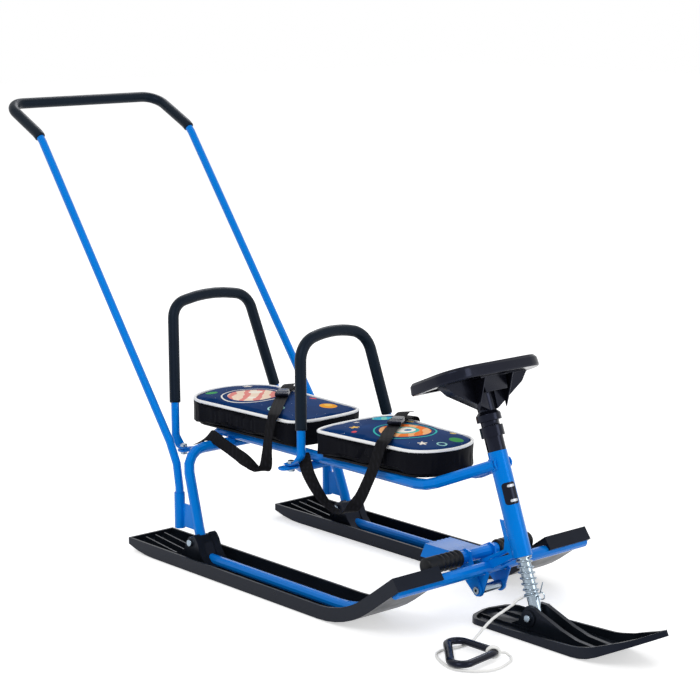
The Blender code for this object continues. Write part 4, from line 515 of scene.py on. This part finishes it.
def addMesh(name, points, faces, body, slot, replaced, finish, angle, merge=1e-6):
    # points in the CAD's datum and their faces, turned outwards, with edges past angle sharp
    mesh = bpy.data.meshes.new(name)
    mesh.from_pydata((np.asarray(points, float) + datumShift).tolist(), [], faces)
    bm = bmesh.new()
    bm.from_mesh(mesh)
    bmesh.ops.remove_doubles(bm, verts=bm.verts, dist=merge)
    bmesh.ops.recalc_face_normals(bm, faces=bm.faces)
    bm.to_mesh(mesh)
    bm.free()
    return addPiece(name, mesh, body, replaced, finish or finishes[slot], angle)


def addPiece(name, mesh, body, replaced, finish, angle):
    # the mesh as an object: its finish, body and the solids that it stands for
    mesh.shade_smooth()
    mesh.set_sharp_from_angle(angle=math.radians(angle))
    made = newObject(name, mesh)
    mesh.materials.append(finish)
    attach(made, body)
    if replaced:
        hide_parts(*replaced)
    return made


def gridFaces(rows, cols, closeRows, start):
    # quads of a grid whose columns close; open rows get a face over each end
    i, j = np.meshgrid(np.arange(rows if closeRows else rows - 1), np.arange(cols),
                       indexing="ij")
    nextI, nextJ = (i + 1) % rows, (j + 1) % cols
    quads = np.stack([i * cols + j, i * cols + nextJ, nextI * cols + nextJ, nextI * cols + j], -1)
    faces = (quads.reshape(-1, 4) + start).tolist()
    if not closeRows:
        faces.append(list(range(start, start + cols))[::-1])
        faces.append(list(range(start + (rows - 1) * cols, start + rows * cols)))
    return faces


def addGrids(name, grids, body, slot, replaced=(), finish=None, closeRows=False, angle=40):
    # several closed grids in one mesh; its finish is the slot's unless another is given
    faces, points, start = [], [], 0
    for grid in grids:
        rows, cols = grid.shape[:2]
        faces += gridFaces(rows, cols, closeRows, start)
        points.append(grid.reshape(-1, 3))
        start += rows * cols
    return addMesh(name, np.concatenate(points), faces, body, slot, replaced, finish, angle)


def blockGrid(centre, along, wide, size, power, rows=16, cols=32, pole=0.02):
    # superellipsoid: a box with soft edges, size is (length, width, height)
    up = np.cross(along, wide)
    polar = np.linspace(pole, math.pi - pole, rows)[:, None]
    turn = (2 * math.pi * (np.arange(cols) + 0.5) / cols)[None]
    bend = lambda v: np.sign(v) * np.abs(v) ** (2 / power)
    ring = bend(np.sin(polar))
    shares = (bend(np.cos(turn)) * ring, bend(np.sin(turn)) * ring, bend(np.cos(polar)) + 0 * turn)
    return centre + sum(axis * (share * side / 2)[..., None]
                        for axis, share, side in zip((along, wide, up), shares, size))


def ribbonGrid(points, ways, width, thick, spacing=0.003, sides=24, flatness=(0.35, 0.6)):
    # flat strap: its edges are half rounds, its width turns with the given directions
    path = smoothRoute(points, spacing)
    knots = [int(np.argmin(np.linalg.norm(path - np.array(p), axis=1))) for p in points]
    wide = np.stack([np.interp(np.arange(len(path)), knots, way) for way in np.array(ways).T], -1)
    tangent = unit(np.gradient(path, axis=0))
    wide = unit(wide - tangent * (wide * tangent).sum(-1, keepdims=True))
    up = np.cross(tangent, wide)
    turn = 2 * math.pi * np.arange(sides) / sides
    a, b = (np.sign(v) * np.abs(v) ** power * reach / 2
            for v, power, reach in zip((np.cos(turn), np.sin(turn)), flatness, (width, thick)))
    return path[:, None] + wide[:, None] * a[:, None] + up[:, None] * b[:, None]


# pull rope: its route is measured from the datum, and it leaves the lower spring washer
ropeLook = {"diameter": 0.005, "strands": 3, "lay": 0.014, "groove": 0.0003, "sides": 18,
            "step": 0.0025, "washerHeight": 0.03607, "washerRadius": 0.0164,
            "exitBack": 0.62, "exitAside": 0.785, "lead": 0.008, "landing": 0.010,
            "gap": 0.0003, "spacing": 0.0125, "tieShare": 0.94, "tieAside": 0.0026}
ropeRoute = [(0.5105, -0.031, 0.05), (0.5085, -0.056, 0.041), (0.507, -0.079, 0.033),
             (0.506, -0.098, 0.022), (0.506, -0.116, 0.01), (0.5085, -0.133, 0.0032),
             (0.511, -0.15, 0.0027), (0.508, -0.167, 0.0027), (0.504, -0.186, 0.0027),
             (0.504, -0.202, 0.0027), (0.513, -0.217, 0.0027), (0.532, -0.2285, 0.0027),
             (0.556, -0.238, 0.0027), (0.579, -0.241, 0.0027), (0.5955, -0.2335, 0.0027),
             (0.611, -0.221, 0.0027), (0.623, -0.204, 0.0027), (0.625, -0.182, 0.0027),
             (0.619, -0.158, 0.003), (0.611, -0.14, 0.005)]
pullHandle = {"corners": ((0.4707, -0.1537), (0.5861, -0.1492), (0.6010, -0.2660)),
              "corner": 0.018, "width": 0.0155, "height": 0.012, "lift": 0.0116,
              "waist": 0.05, "step": 0.004, "sides": 24}


def pullFace(h):
    # middle of the handle's outer face at the tied corner, and the way out of it
    corner = np.array(h["corners"][1])
    first, second = (unit(np.array(h["corners"][k]) - corner) for k in (0, 2))
    away = -unit(first + second)
    reach = h["corner"] / math.sin(math.acos(float(first @ second)) / 2) - h["corner"]
    return np.append(corner + away * (h["width"] / 2 - reach), h["lift"]), np.append(away, 0)


def ropePath(c):
    # the same route as the solid's: out of the lower washer, down, and round the handle
    out = unit(np.array([-math.cos(rake) * c["exitBack"], -c["exitAside"],
                         -math.sin(rake) * c["exitBack"]]))
    exitPoint = pivot + columnUp * c["washerHeight"] + out * c["washerRadius"]
    face, away = pullFace(pullHandle)
    end = face + away * c["gap"]
    return smoothRoute([exitPoint, exitPoint + out * c["lead"], *ropeRoute,
                        end + away * c["landing"], end], c["spacing"])


def addRope(c):
    # three strands: the radius rises and falls round the rope, turning with the length
    path = evenSteps(ropePath(c), c["step"])
    run = np.arange(len(path))[:, None] * c["step"]
    turn = 2 * math.pi * (np.arange(c["sides"]) + 0.5) / c["sides"]
    twist = 2 * math.pi * run / c["lay"] / c["strands"]
    lobes = np.abs(np.cos(c["strands"] / 2 * (turn[None] - twist)))
    radius = c["diameter"] / 2 - c["groove"] * (1 - lobes) ** 1.5
    made = addGrids("twistedPullRope", [tubeGrid(path, radius, zAxis, c["sides"])], "carrier",
                    "rope", ["pull_rope"], angle=60)
    return made, path + datumShift


def addPullHandle(h):
    # a flat oval bar carried round a rounded triangle, waisted a little between its corners
    points = [np.append(p, h["lift"]) for p in h["corners"]]
    ring = roundedPath([points[2], *points, points[0]], [h["corner"]] * 3, 6)[1:-1]
    path = evenSteps(np.concatenate([ring, ring[:1]]), h["step"])[:-1]
    run = np.arange(len(path)) / len(path)
    radius = h["width"] / 2 * (1 - h["waist"] * (0.5 - 0.5 * np.cos(6 * math.pi * run)))
    grid = tubeGrid(path, radius, zAxis, h["sides"], True, h["height"] / h["width"])
    return addGrids("pullHandleLoop", [grid], "carrier", "plastic", ["pull_handle"],
                    closeRows=True)


def addRopeTie(h, c):
    # two turns of the rope round the bar at the tied corner
    face, away = pullFace(h)
    centre = face - away * h["width"] / 2
    aside = np.cross(away, zAxis)
    turn = 2 * math.pi * np.arange(40)[:, None] / 40
    thick = c["diameter"] / 2 * c["tieShare"]
    out, tall = h["width"] / 2 + thick, h["height"] / 2 + thick
    ring = centre + away * out * np.cos(turn) + zAxis * tall * np.sin(turn)
    grids = [tubeGrid(ring + aside * k, thick, aside, 12, True)
             for k in (-c["tieAside"], c["tieAside"])]
    return addGrids("ropeTie", grids, "carrier", "rope", closeRows=True)


ropePiece, ropeCentre = addRope(ropeLook)
handlePiece = addPullHandle(pullHandle)
tiePiece = addRopeTie(pullHandle, ropeLook)
print("stage: pull rope,", round(pathLength(ropeCentre), 3), "m")

# seats: ends (x), half widths (w), lengths and powers of the rounded ends; 0 is the rear end
seats = {
    "rear": {"x0": -0.345, "x1": 0.006, "w0": 0.0995, "w1": 0.088,
             "round0": 0.075, "round1": 0.035, "power0": 2.0, "power1": 2.6},
    "front": {"x0": 0.053, "x1": 0.338, "w0": 0.0960, "w1": 0.080,
              "round0": 0.028, "round1": 0.060, "power0": 2.4, "power1": 2.0},
}
cushion = {"bottom": 0.2386, "side": 0.040, "piping": 0.005, "crown": 0.009, "crownPower": 2.4,
           "slack": 0.0022, "rim": 0.0045, "step": 0.0045, "voxel": 0.005, "frames": 14,
           "pressure": 4.0, "quality": 4, "cap": 0.005, "fill": 0.8,
           "rings": (0.97, 0.85, 0.65, 0.40, 0.15)}
creases = {"waist": 0.0010, "proud": 0.0005, "pucker": 0.0006, "perTurn": 9,
           "dent": 0.0005, "dentAlong": 61, "dentAcross": 34}


def seatOutline(which, inset=0.0, steps=26):
    # tapering sides and superelliptic ends; every point moved in by inset
    s = seats[which]
    angle = np.linspace(0, math.pi / 2, steps + 1)
    ends = []
    for k, way in (("0", 1), ("1", -1)):
        ahead = way * s["round" + k] * (1 - np.cos(angle) ** (2 / s["power" + k]))
        half = s["w" + k] * np.sin(angle) ** (2 / s["power" + k])
        ends.append(np.stack([s["x" + k] + ahead, half], -1))
    right = np.concatenate([ends[0], ends[1][::-1]])
    loop = np.concatenate([right * (1, -1), right[::-1][1:-1]])
    loop = evenSteps(np.concatenate([loop, loop[:1]]), cushion["step"])[:-1]
    along = unit(np.roll(loop, -1, 0) - np.roll(loop, 1, 0))
    return loop + np.stack([-along[:, 1], along[:, 0]], -1) * inset


def seatMiddle(which):
    # halfway between the seat's ends
    return np.array([(seats[which]["x0"] + seats[which]["x1"]) / 2, 0.0])


def lifted(loop, z):
    # the flat loop at height z
    return np.append(loop, np.full((len(loop), 1), z), 1)


def cushionGrid(which, c):
    # rings from the flat base up the side band, in under the piping and over the crown
    brow = c["bottom"] + c["side"] + c["piping"]
    outline, inner = (seatOutline(which, c["slack"] + inset) for inset in (0, c["rim"]))
    middle = seatMiddle(which)
    rows = [lifted(outline, c["bottom"] + h) for h in (0.0, 0.004, c["side"] * 0.5, c["side"])]
    rows.append(lifted(inner, brow - 0.001))
    for share in c["rings"]:
        z = brow + c["crown"] * (1 - share ** c["crownPower"]) - 0.0015
        rows.append(lifted(middle + (inner - middle) * share, z))
    return np.stack(rows)


def asMesh(made):
    # the shape with its modifiers, as a mesh of its own; the modifiers go
    shown = made.evaluated_get(bpy.context.evaluated_depsgraph_get())
    mesh = bpy.data.meshes.new_from_object(shown)
    made.modifiers.clear()
    return mesh


def pointsOf(mesh):
    # every vertex, one to a row
    flat = np.empty(len(mesh.vertices) * 3)
    mesh.vertices.foreach_get("co", flat)
    return flat.reshape(-1, 3)


def inflate(made, c):
    # voxel remesh, then air pressure in a cloth; no point moves further than the cap
    remesh = made.modifiers.new("voxels", "REMESH")
    remesh.mode = "VOXEL"
    remesh.voxel_size = c["voxel"]
    made.data = mesh = asMesh(made)
    rest = pointsOf(mesh)
    cloth = made.modifiers.new("airPressure", "CLOTH")
    cloth.settings.use_pressure = True
    cloth.settings.uniform_pressure_force = c["pressure"]
    cloth.settings.effector_weights.gravity = 0
    cloth.settings.quality = c["quality"]
    cloth.point_cache.frame_end = c["frames"]
    scene = bpy.context.scene
    scene.frame_end = max(scene.frame_end, c["frames"])
    for frameNumber in range(1, c["frames"] + 1):
        scene.frame_set(frameNumber)
    swollen = asMesh(made)
    scene.frame_set(1)
    step = pointsOf(swollen) - rest
    far = np.linalg.norm(step, axis=1, keepdims=True)
    moved = rest + step * np.minimum(1, c["cap"] / np.maximum(far, 1e-9))
    mesh.vertices.foreach_set("co", moved.ravel())
    mesh.update()


def shapeCushion(which, made, c, f):
    # flat base, side band drawn in between its seams, shallow puckers and one broad dent
    grow = made.modifiers.new("smoothPad", "SUBSURF")
    grow.levels = grow.render_levels = 1
    mesh = asMesh(made)
    p = pointsOf(mesh) - datumShift
    middle = seatMiddle(which)
    loop = seatOutline(which) - middle
    way = p[:, :2] - middle
    angle, loopAngle = (np.arctan2(v[:, 1], v[:, 0]) for v in (way, loop))
    order = np.argsort(loopAngle)
    reach = np.interp(angle, loopAngle[order], np.linalg.norm(loop, axis=1)[order],
                      period=2 * math.pi)
    share = np.linalg.norm(way, axis=1) / reach
    height = (p[:, 2] - c["bottom"]) / c["side"]
    band = np.clip(1 - np.abs(height - 0.5) * 2, 0, 1)
    run = angle * f["perTurn"]
    pucker = f["pucker"] * np.sin(run * 5 + 2 * np.sin(run * 2)) * band * (share > 0.9)
    limit = 1 + (f["proud"] - f["waist"] * band + pucker) / reach
    under = height < 1.06                       # up to the piping's middle
    keep = np.where(under, np.minimum(share, limit) / np.maximum(share, 1e-6), 1)
    keep = np.where(under & (share > 0.93), limit / share, keep)
    p[:, :2] = middle + way * keep[:, None]
    brow = c["bottom"] + c["side"] + c["piping"]
    crown = brow + c["crown"] * np.clip(1 - share ** c["crownPower"], 0, 1)
    dent = f["dent"] * np.sin(p[:, 0] * f["dentAlong"] + 3 * np.sin(p[:, 1] * f["dentAcross"]))
    top = p[:, 2] > brow - 0.002
    p[:, 2] = np.where(top, np.minimum(p[:, 2], crown) + dent * np.clip(1 - share, 0, 1), p[:, 2])
    p[:, 2] = np.maximum(p[:, 2], c["bottom"])
    mesh.vertices.foreach_set("co", (p + datumShift).ravel())
    mesh.shade_smooth()
    mesh.materials.clear()
    mesh.materials.append(covers[which])
    made.data = mesh


def addSeat(which, c):
    # the swollen pad, then its piping: a round cord along the outline at the seam
    made = addGrids(which + "SeatPad", [cushionGrid(which, c)], "frame", "cover",
                    [which + "_cushion"], covers[which])
    inflate(made, c)
    shapeCushion(which, made, c, creases)
    radius = c["piping"] / 2
    loop = lifted(seatOutline(which, radius - 0.0004), c["bottom"] + c["side"] + radius + 0.0008)
    addGrids(which + "Piping", [tubeGrid(loop, radius + 0.0006, zAxis, 14, True)], "frame",
             "rope", [which + "_seat_piping"], finishes["piping"], closeRows=True)


for which in seats:
    addSeat(which, cushion)
print("stage: seat pads and piping")

# lap straps: (point, way of the strap's width) from fixing to fixing, and the loose tails
strapSizes = {"width": 0.0235, "thick": 0.0016}
strapRoutes = {
    "rear": [((-0.276, -0.1, 0.1985), (0, 1, 0)), ((-0.25, -0.106, 0.2125), (0.1, 0.8, 0.5)),
             ((-0.222, -0.11, 0.2245), (0.1, 0.5, 0.8)), ((-0.175, -0.114, 0.215), (0.1, 0.2, 1)),
             ((-0.132, -0.113, 0.202), (0, 0.3, 1)), ((-0.106, -0.111, 0.192), (-0.2, 0.8, 0.5)),
             ((-0.091, -0.108, 0.1842), (-0.1, 1, 0.1)), ((-0.0735, -0.107, 0.183), (0.3, 1, 0)),
             ((-0.063, -0.105, 0.1935), (0.8, 0.6, 0)), ((-0.059, -0.1045, 0.221), (1, 0.2, 0)),
             ((-0.056, -0.1035, 0.252), (1, 0, 0)), ((-0.049, -0.1005, 0.2842), (1, 0.1, 0)),
             ((-0.06, -0.084, 0.2937), (0.85, 0.5, 0)), ((-0.115, -0.028, 0.2967), (0.7, 0.7, 0)),
             ((-0.168, 0.028, 0.2967), (0.7, 0.7, 0)), ((-0.222, 0.086, 0.2937), (0.8, 0.6, 0)),
             ((-0.238, 0.1085, 0.2822), (1, 0.1, 0)), ((-0.252, 0.111, 0.25), (1, 0, 0)),
             ((-0.268, 0.106, 0.216), (0.9, 0.4, 0)), ((-0.276, 0.1, 0.1995), (0, 1, 0))],
    "front": [((0.018, -0.083, 0.229), (0.6, 0.8, 0.1)), ((0.034, -0.093, 0.2275), (0.6, 0.8, 0.1)),
              ((0.047, -0.101, 0.22), (0.62, 0.75, 0.1)),
              ((0.0738, -0.115, 0.2043), (0.5, 0.85, 0.1)),
              ((0.1042, -0.12, 0.1797), (0.1, 1, 0.1)), ((0.1256, -0.115, 0.1591), (-0.2, 1, 0)),
              ((0.15, -0.112, 0.15), (-0.2, 1, 0)), ((0.174, -0.107, 0.156), (0.4, 0.9, 0)),
              ((0.195, -0.102, 0.18), (1, 0.2, -0.3)), ((0.213, -0.099, 0.213), (1, 0.1, -0.4)),
              ((0.229, -0.096, 0.248), (1, 0.1, -0.4)),
              ((0.242, -0.0935, 0.2842), (0.9, 0.1, -0.3)),
              ((0.236, -0.076, 0.2937), (0.85, 0.5, 0)), ((0.205, -0.038, 0.2967), (0.8, 0.6, 0)),
              ((0.165, 0.02, 0.2967), (0.8, 0.6, 0)), ((0.132, 0.078, 0.2937), (0.85, 0.5, 0)),
              ((0.122, 0.102, 0.2822), (1, 0.1, 0)), ((0.121, 0.1045, 0.25), (1, 0, 0)),
              ((0.12, 0.096, 0.222), (1, 0, 0)), ((0.118, 0.078, 0.212), (1, 0, 0)),
              ((0.118, 0.06, 0.2085), (1, 0, 0))],
}
strapTails = {
    "rear": [((-0.166, 0.03, 0.3035), (0.7, 0.7, 0)), ((-0.186, 0.052, 0.306), (0.72, 0.68, 0.1)),
             ((-0.204, 0.072, 0.303), (0.78, 0.62, 0.1))],
    "front": [((0.158, 0.03, 0.3035), (0.8, 0.6, 0)), ((0.147, 0.05, 0.3075), (0.82, 0.55, 0.1)),
              ((0.141, 0.068, 0.305), (0.86, 0.5, 0.1))],
}
bucklePlaces = {"rear": ((-0.1500, 0.0090), (-0.0530, 0.0560)),
                "front": ((0.1735, 0.0080), (-0.0400, 0.0580))}
buckle = {"length": 0.044, "width": 0.027, "height": 0.0088, "low": 0.2985}
# each block's middle and size, as shares of half the length, the width and the height
buckleBlocks = (((0.45, 0, 0), (1.1, 0.82, 1), 8),              # socket body
                ((-0.62, 0, 0), (0.7, 0.98, 0.9), 7),           # plug
                ((-0.02, -0.43, 0), (0.78, 0.14, 0.62), 5),     # its two side prongs
                ((-0.02, 0.43, 0), (0.78, 0.14, 0.62), 5),
                ((0, 0, -0.05), (0.5, 0.3, 0.55), 6),           # its middle tongue
                ((0.3, 0, 0.46), (0.5, 0.42, 0.14), 6),         # raised field on the socket
                ((-0.72, 0, 0.44), (0.16, 0.8, 0.2), 5),        # ladder bars
                ((-0.45, 0, 0.44), (0.12, 0.8, 0.16), 5))


def addStrap(which, c):
    # two ribbons: the strap and its loose tail
    grids = [ribbonGrid(*zip(*route), c["width"], c["thick"])
             for route in (strapRoutes[which], strapTails[which])]
    addGrids(which + "LapStrap", grids, "frame", "webbing", [which + "_strap"], angle=50)


def addBuckle(which, b):
    # side-release buckle: soft-edged blocks placed along and across the strap
    (x, y), way = bucklePlaces[which]
    along = unit(np.array([*way, 0.0]))
    axes = np.stack([along, np.cross(zAxis, along), zAxis])
    scale = np.array([b["length"] / 2, b["width"], b["height"]])
    centre = np.array([x, y, b["low"] + b["height"] / 2])
    grids = [blockGrid(centre + (scale * place) @ axes, *axes[:2], scale * size, power)
             for place, size, power in buckleBlocks]
    addGrids(which + "SideReleaseBuckle", grids, "frame", "plastic", [which + "_buckle"])


for which in seats:
    addStrap(which, strapSizes)
    addBuckle(which, buckle)
print("stage: straps and buckles")

# foam sleeves: a hoop's leg stands at x and half at height level, and leans with height
hoops = {"rear": {"x": -0.3463, "lean": 0.2418, "half": 0.1029, "splay": 0.1765,
                  "shoulder": 0.460, "crown": 0.4775, "bends": (0.040, 0.300, 0.040),
                  "start": 0.276, "level": 0.4},
         "front": {"x": 0.0177, "lean": 0.1954, "half": 0.0860, "splay": 0.1641,
                   "shoulder": 0.432, "crown": 0.4535, "bends": (0.050, 0.200, 0.050),
                   "start": 0.279, "level": 0.4}}
sleeve = {"diameter": 0.0215, "ending": 0.003, "sides": 32}
pushGrip = {"half": 0.1855, "knee": (-0.671, 0.775), "kneeBend": 0.060, "bar": (-0.790, 0.832),
            "corner": 0.036, "foot": (-0.225, 0.1827), "start": 0.771,
            "reference": (0.43, 0, 0.9), "step": 0.001}


def addFoam(name, path, reference, body, replaced):
    # a round sleeve along the path, its ends rounded over
    path, radius = softEnds(path, sleeve["diameter"] / 2, sleeve["ending"])
    addGrids(name, [tubeGrid(path, radius, reference, sleeve["sides"])], body, "foam",
             [replaced])


def hoopFoam(which, h):
    # up the right leg from the foam's end, over the crown and down the left leg
    at = lambda z, side: (h["x"] - h["lean"] * (z - h["level"]),
                          side * (h["half"] - h["splay"] * (z - h["level"])), z)
    crown = at(h["crown"], 0)
    points = [at(h["start"], -1), at(h["shoulder"], -1), crown, at(h["shoulder"], 1),
              at(h["start"], 1)]
    addFoam(which + "HoopSleeve", roundedPath(points, h["bends"]), (1, 0, h["lean"]), "frame",
            which + "_backrest_foam")


def gripFoam(g):
    # the push handle's path cut off where the sleeve starts, below the knees
    right = [(g[k][0], -g["half"], g[k][1]) for k in ("foot", "knee", "bar")]
    points = right + [(x, -y, z) for x, y, z in reversed(right)]
    path = roundedPath(points, (g["kneeBend"], g["corner"], g["corner"], g["kneeBend"]))
    path = evenSteps(path, g["step"])
    path = path[path[:, 2] >= g["start"]]
    addFoam("pushHandleGrip", path, g["reference"], "handle", "push_handle_grip")


for which, hoop in hoops.items():
    hoopFoam(which, hoop)
gripFoam(pushGrip)
print("stage: foam sleeves")

# pedal sleeves: ribbed from start, smooth over the last stretch before end
pedalSleeve = {"x": 0.390, "z": 0.105, "start": 0.045, "end": 0.1285, "smooth": 0.030, "ribs": 5,
               "radius": 0.0155, "depth": 0.0018, "fullness": 0.45, "proud": 0.0003,
               "lip": 0.001, "lipDepth": 0.0006, "dome": 0.006, "taper": 0.02, "rows": 150,
               "sides": 36}


def addPedalSleeve(side, c):
    # lathe along the pedal: rounded ribs on the inner part, a plain rounded outer part
    y = np.linspace(c["start"], c["end"], c["rows"])
    ribbed = c["end"] - c["smooth"]
    share = (y - c["start"]) / (ribbed - c["start"])
    wave = 0.5 - 0.5 * np.cos(2 * math.pi * share * c["ribs"])
    radius = np.where(y < ribbed, c["radius"] - c["depth"] * (1 - wave ** c["fullness"]),
                      c["radius"] + c["proud"])
    radius = radius - np.where(y < c["start"] + c["lip"], c["lipDepth"], 0)
    over = np.clip((y - (c["end"] - c["dome"])) / c["dome"], 0, 1)
    radius = radius * np.sqrt(np.clip(1 - over ** 2, 0.0009, 1))
    radius = radius * (1 - c["taper"] * (y > ribbed) * (1 - over))
    path = np.stack([np.full_like(y, c["x"]), side * y, np.full_like(y, c["z"])], -1)
    name = "left" if side > 0 else "right"
    addGrids(name + "PedalSleeve", [tubeGrid(path, radius, zAxis, c["sides"])], "brake",
             "rubber", ["brake_pedal_sleeve_" + name])


for side in (-1, 1):
    addPedalSleeve(side, pedalSleeve)

# spring: it hangs below the head tube and the upper washer, with a gap before and after that
spring = {"diameter": 0.029, "wire": 0.003, "turns": 7, "length": 0.063, "perTurn": 30,
          "headLength": 0.1838, "washer": 0.002, "gap": 0.0003, "sides": 14, "keep": 0.80}


def addSpring(c):
    # helix round the column with flat half turns at both ends, wire resting on the washers
    top = -(c["headLength"] + c["washer"] + 2 * c["gap"])
    turns = np.linspace(0, c["turns"], c["turns"] * c["perTurn"] + 1)
    active = c["turns"] - 1
    share = np.clip(turns - 0.5, 0, active) / active
    height = (top - c["gap"] - c["wire"] / 2
              - (c["length"] - c["wire"] - 2 * c["gap"]) * share)
    radius = (c["diameter"] - c["wire"]) / 2
    angle = 2 * math.pi * turns
    path = columnPoint(height, radius * np.cos(angle), radius * np.sin(angle))
    made = addGrids("suspensionCoil", [tubeGrid(path, c["wire"] / 2, columnUp, c["sides"])],
                    body_of(nodes["suspension_spring"])[0], "zinc",
                    ["suspension_spring"], angle=60)
    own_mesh(made)


addSpring(spring)
print("stage: spring and pedal sleeves")

# head tube panel: heights from the tube's top, angles in radians from straight ahead
headPanel = {"low": -0.094, "high": -0.056, "facing": -0.42, "half": 0.78, "radius": 0.0171,
             "thick": 0.00035, "corner": 0.006}
panelBars = {"lows": (-0.090, -0.0645), "height": 0.0045, "facing": -0.22, "half": 0.42,
             "radius": 0.01745, "thick": 0.0002, "corner": 0.0018}


def shellPatch(c, low, high, rows=40, cols=18):
    # a thin curved plate on the head tube: out along its outer face, back along the inner one
    height = np.linspace(low, high, rows)
    edge = np.clip(1 - np.minimum(height - low, high - height) / c["corner"], 0, 1)
    width = c["half"] - c["corner"] / c["radius"] * (1 - np.sqrt(np.clip(1 - edge ** 2, 0, 1)))
    share = np.concatenate([np.linspace(-1, 1, cols), np.linspace(1, -1, cols)])
    layer = np.repeat([c["radius"] + c["thick"], c["radius"]], cols)
    angle = c["facing"] + width[:, None] * share
    return columnPoint(height[:, None] + 0 * angle, layer * np.cos(angle), layer * np.sin(angle))


def addPanel(c, bars):
    # a plain dark panel with pale bars, no lettering
    addGrids("headTubePanel", [shellPatch(c, c["low"], c["high"])], "frame", "plastic")
    grids = [shellPatch(bars, low, low + bars["height"]) for low in bars["lows"]]
    addGrids("headTubePanelBars", grids, "frame", "zinc", finish=finishes["silverPrint"])


# wheel webs: (ahead, up) corners in the column's own plane
webs = {"outline": ((0.0150, 0.0705), (0.0345, 0.0985), (0.0500, 0.1240), (0.0150, 0.1240)),
        "places": (-0.0332, 0.0332), "thick": 0.0024, "bevel": 0.0005}


def addWebs(c):
    # upright stiffening webs in front of the hub, from the hub up to the plate
    ahead, height = np.array(c["outline"]).T
    grids = [np.stack([columnPoint(height, ahead, y + k * c["thick"] / 2) for k in (-1, 1)])
             for y in c["places"]]
    made = addGrids("wheelWebs", grids, "steer", "plastic")
    ease = made.modifiers.new("easedEdges", "BEVEL")
    ease.width = c["bevel"]
    ease.segments = 2


# weld beads: nose is the last bend of a seat beam, drop and aside where its end meets the tube
welds = {"bead": 0.0021, "beamRadius": 0.010, "headRadius": 0.0168, "drop": 0.022,
         "aside": 0.0115, "nose": (0.325, 0.0625, 0.2235), "back": 0.03, "ripple": 0.12,
         "ripples": 12, "points": 48, "sides": 12}


def weldPath(centre, way, w):
    # points round the beam slid along it until they meet the tube: a quadratic in the slide
    across = unit(np.cross(way, zAxis))
    turn = 2 * math.pi * np.arange(w["points"])[:, None] / w["points"]
    ring = centre + w["beamRadius"] * (np.cos(turn) * across + np.sin(turn) * np.cross(way, across))
    flat = lambda v: v - (v @ columnUp)[..., None] * columnUp
    start, slide = flat(ring - headTop), flat(way[None])[0]
    a, b = slide @ slide, 2 * start @ slide
    c = (start ** 2).sum(-1) - w["headRadius"] ** 2
    root = np.sqrt(np.maximum(b ** 2 - 4 * a * c, 0))
    return ring + way * ((-b - root) / (2 * a))[:, None]


def addWelds(w):
    # an uneven bead, painted over, where each seat beam meets the head tube
    grids = []
    for side in (-1, 1):
        end = columnPoint(-w["drop"]) * (1, 0, 1) + side * w["aside"] * yAxis
        way = unit(end - np.array(w["nose"]) * (1, side, 1))
        path = weldPath(end - way * w["back"], way, w)
        run = 2 * math.pi * np.arange(len(path)) / len(path)
        radius = w["bead"] * (1 + w["ripple"] * np.sin(run * w["ripples"]))
        grids.append(tubeGrid(path, radius, way, w["sides"], True))
    addGrids("beamWelds", grids, "frame", "frame", closeRows=True)


addPanel(headPanel, panelBars)
addWebs(webs)
addWelds(welds)
print("stage: panel, webs and welds")

# moulded and pressed parts whose edges are eased, and how wide
easedEdges = {
    "rear_ski_right": 0.0009, "rear_ski_left": 0.0009, "front_ski": 0.0009,
    "steering_wheel": 0.0012, "column_collar": 0.0006, "brake_comb": 0.0005,
    "brake_bracket_left": 0.0005, "brake_bracket_right": 0.0005, "head_gusset_left": 0.0006,
    "head_gusset_right": 0.0006, "upper_spring_washer": 0.0003, "lower_spring_washer": 0.0003,
    "front_seat_knob": 0.0008, "brake_pivot_rivet": 0.0004, "handle_socket_left": 0.0005,
    "handle_socket_right": 0.0005, "head_tube": 0.0005, "front_seat_base": 0.0012,
    "rear_seat_base": 0.0012, "front_ski_bolt": 0.0005, "ski_bolt_right": 0.0005,
    "ski_bolt_left": 0.0005,
}
easing = {"merge": 2e-6, "flat": 0.6, "sharp": 32, "segments": 2}   # metres and degrees


def addEased(nodeName, width, e):
    # the node's loose triangles merged into larger faces, then its edges eased
    source = nodes[nodeName]
    bm = bmesh.new()
    bm.from_mesh(source.data)
    bmesh.ops.remove_doubles(bm, verts=bm.verts, dist=e["merge"])
    bmesh.ops.dissolve_limit(bm, angle_limit=math.radians(e["flat"]), verts=bm.verts,
                             edges=bm.edges)
    first, *others = nodeName.split("_")
    name = first + "".join(word.capitalize() for word in others) + "Eased"
    mesh = bpy.data.meshes.new(name)
    bm.to_mesh(mesh)
    bm.free()
    made = addPiece(name, mesh, body_of(source)[0], [nodeName],
                    source.active_material, e["sharp"])
    ease = made.modifiers.new("easedEdges", "BEVEL")
    ease.width = width
    ease.segments = e["segments"]
    ease.limit_method = "ANGLE"
    ease.angle_limit = math.radians(e["sharp"])
    ease.harden_normals = True
    ease.use_clamp_overlap = True


for nodeName, width in easedEdges.items():
    addEased(nodeName, width, easing)
print("stage: eased parts")
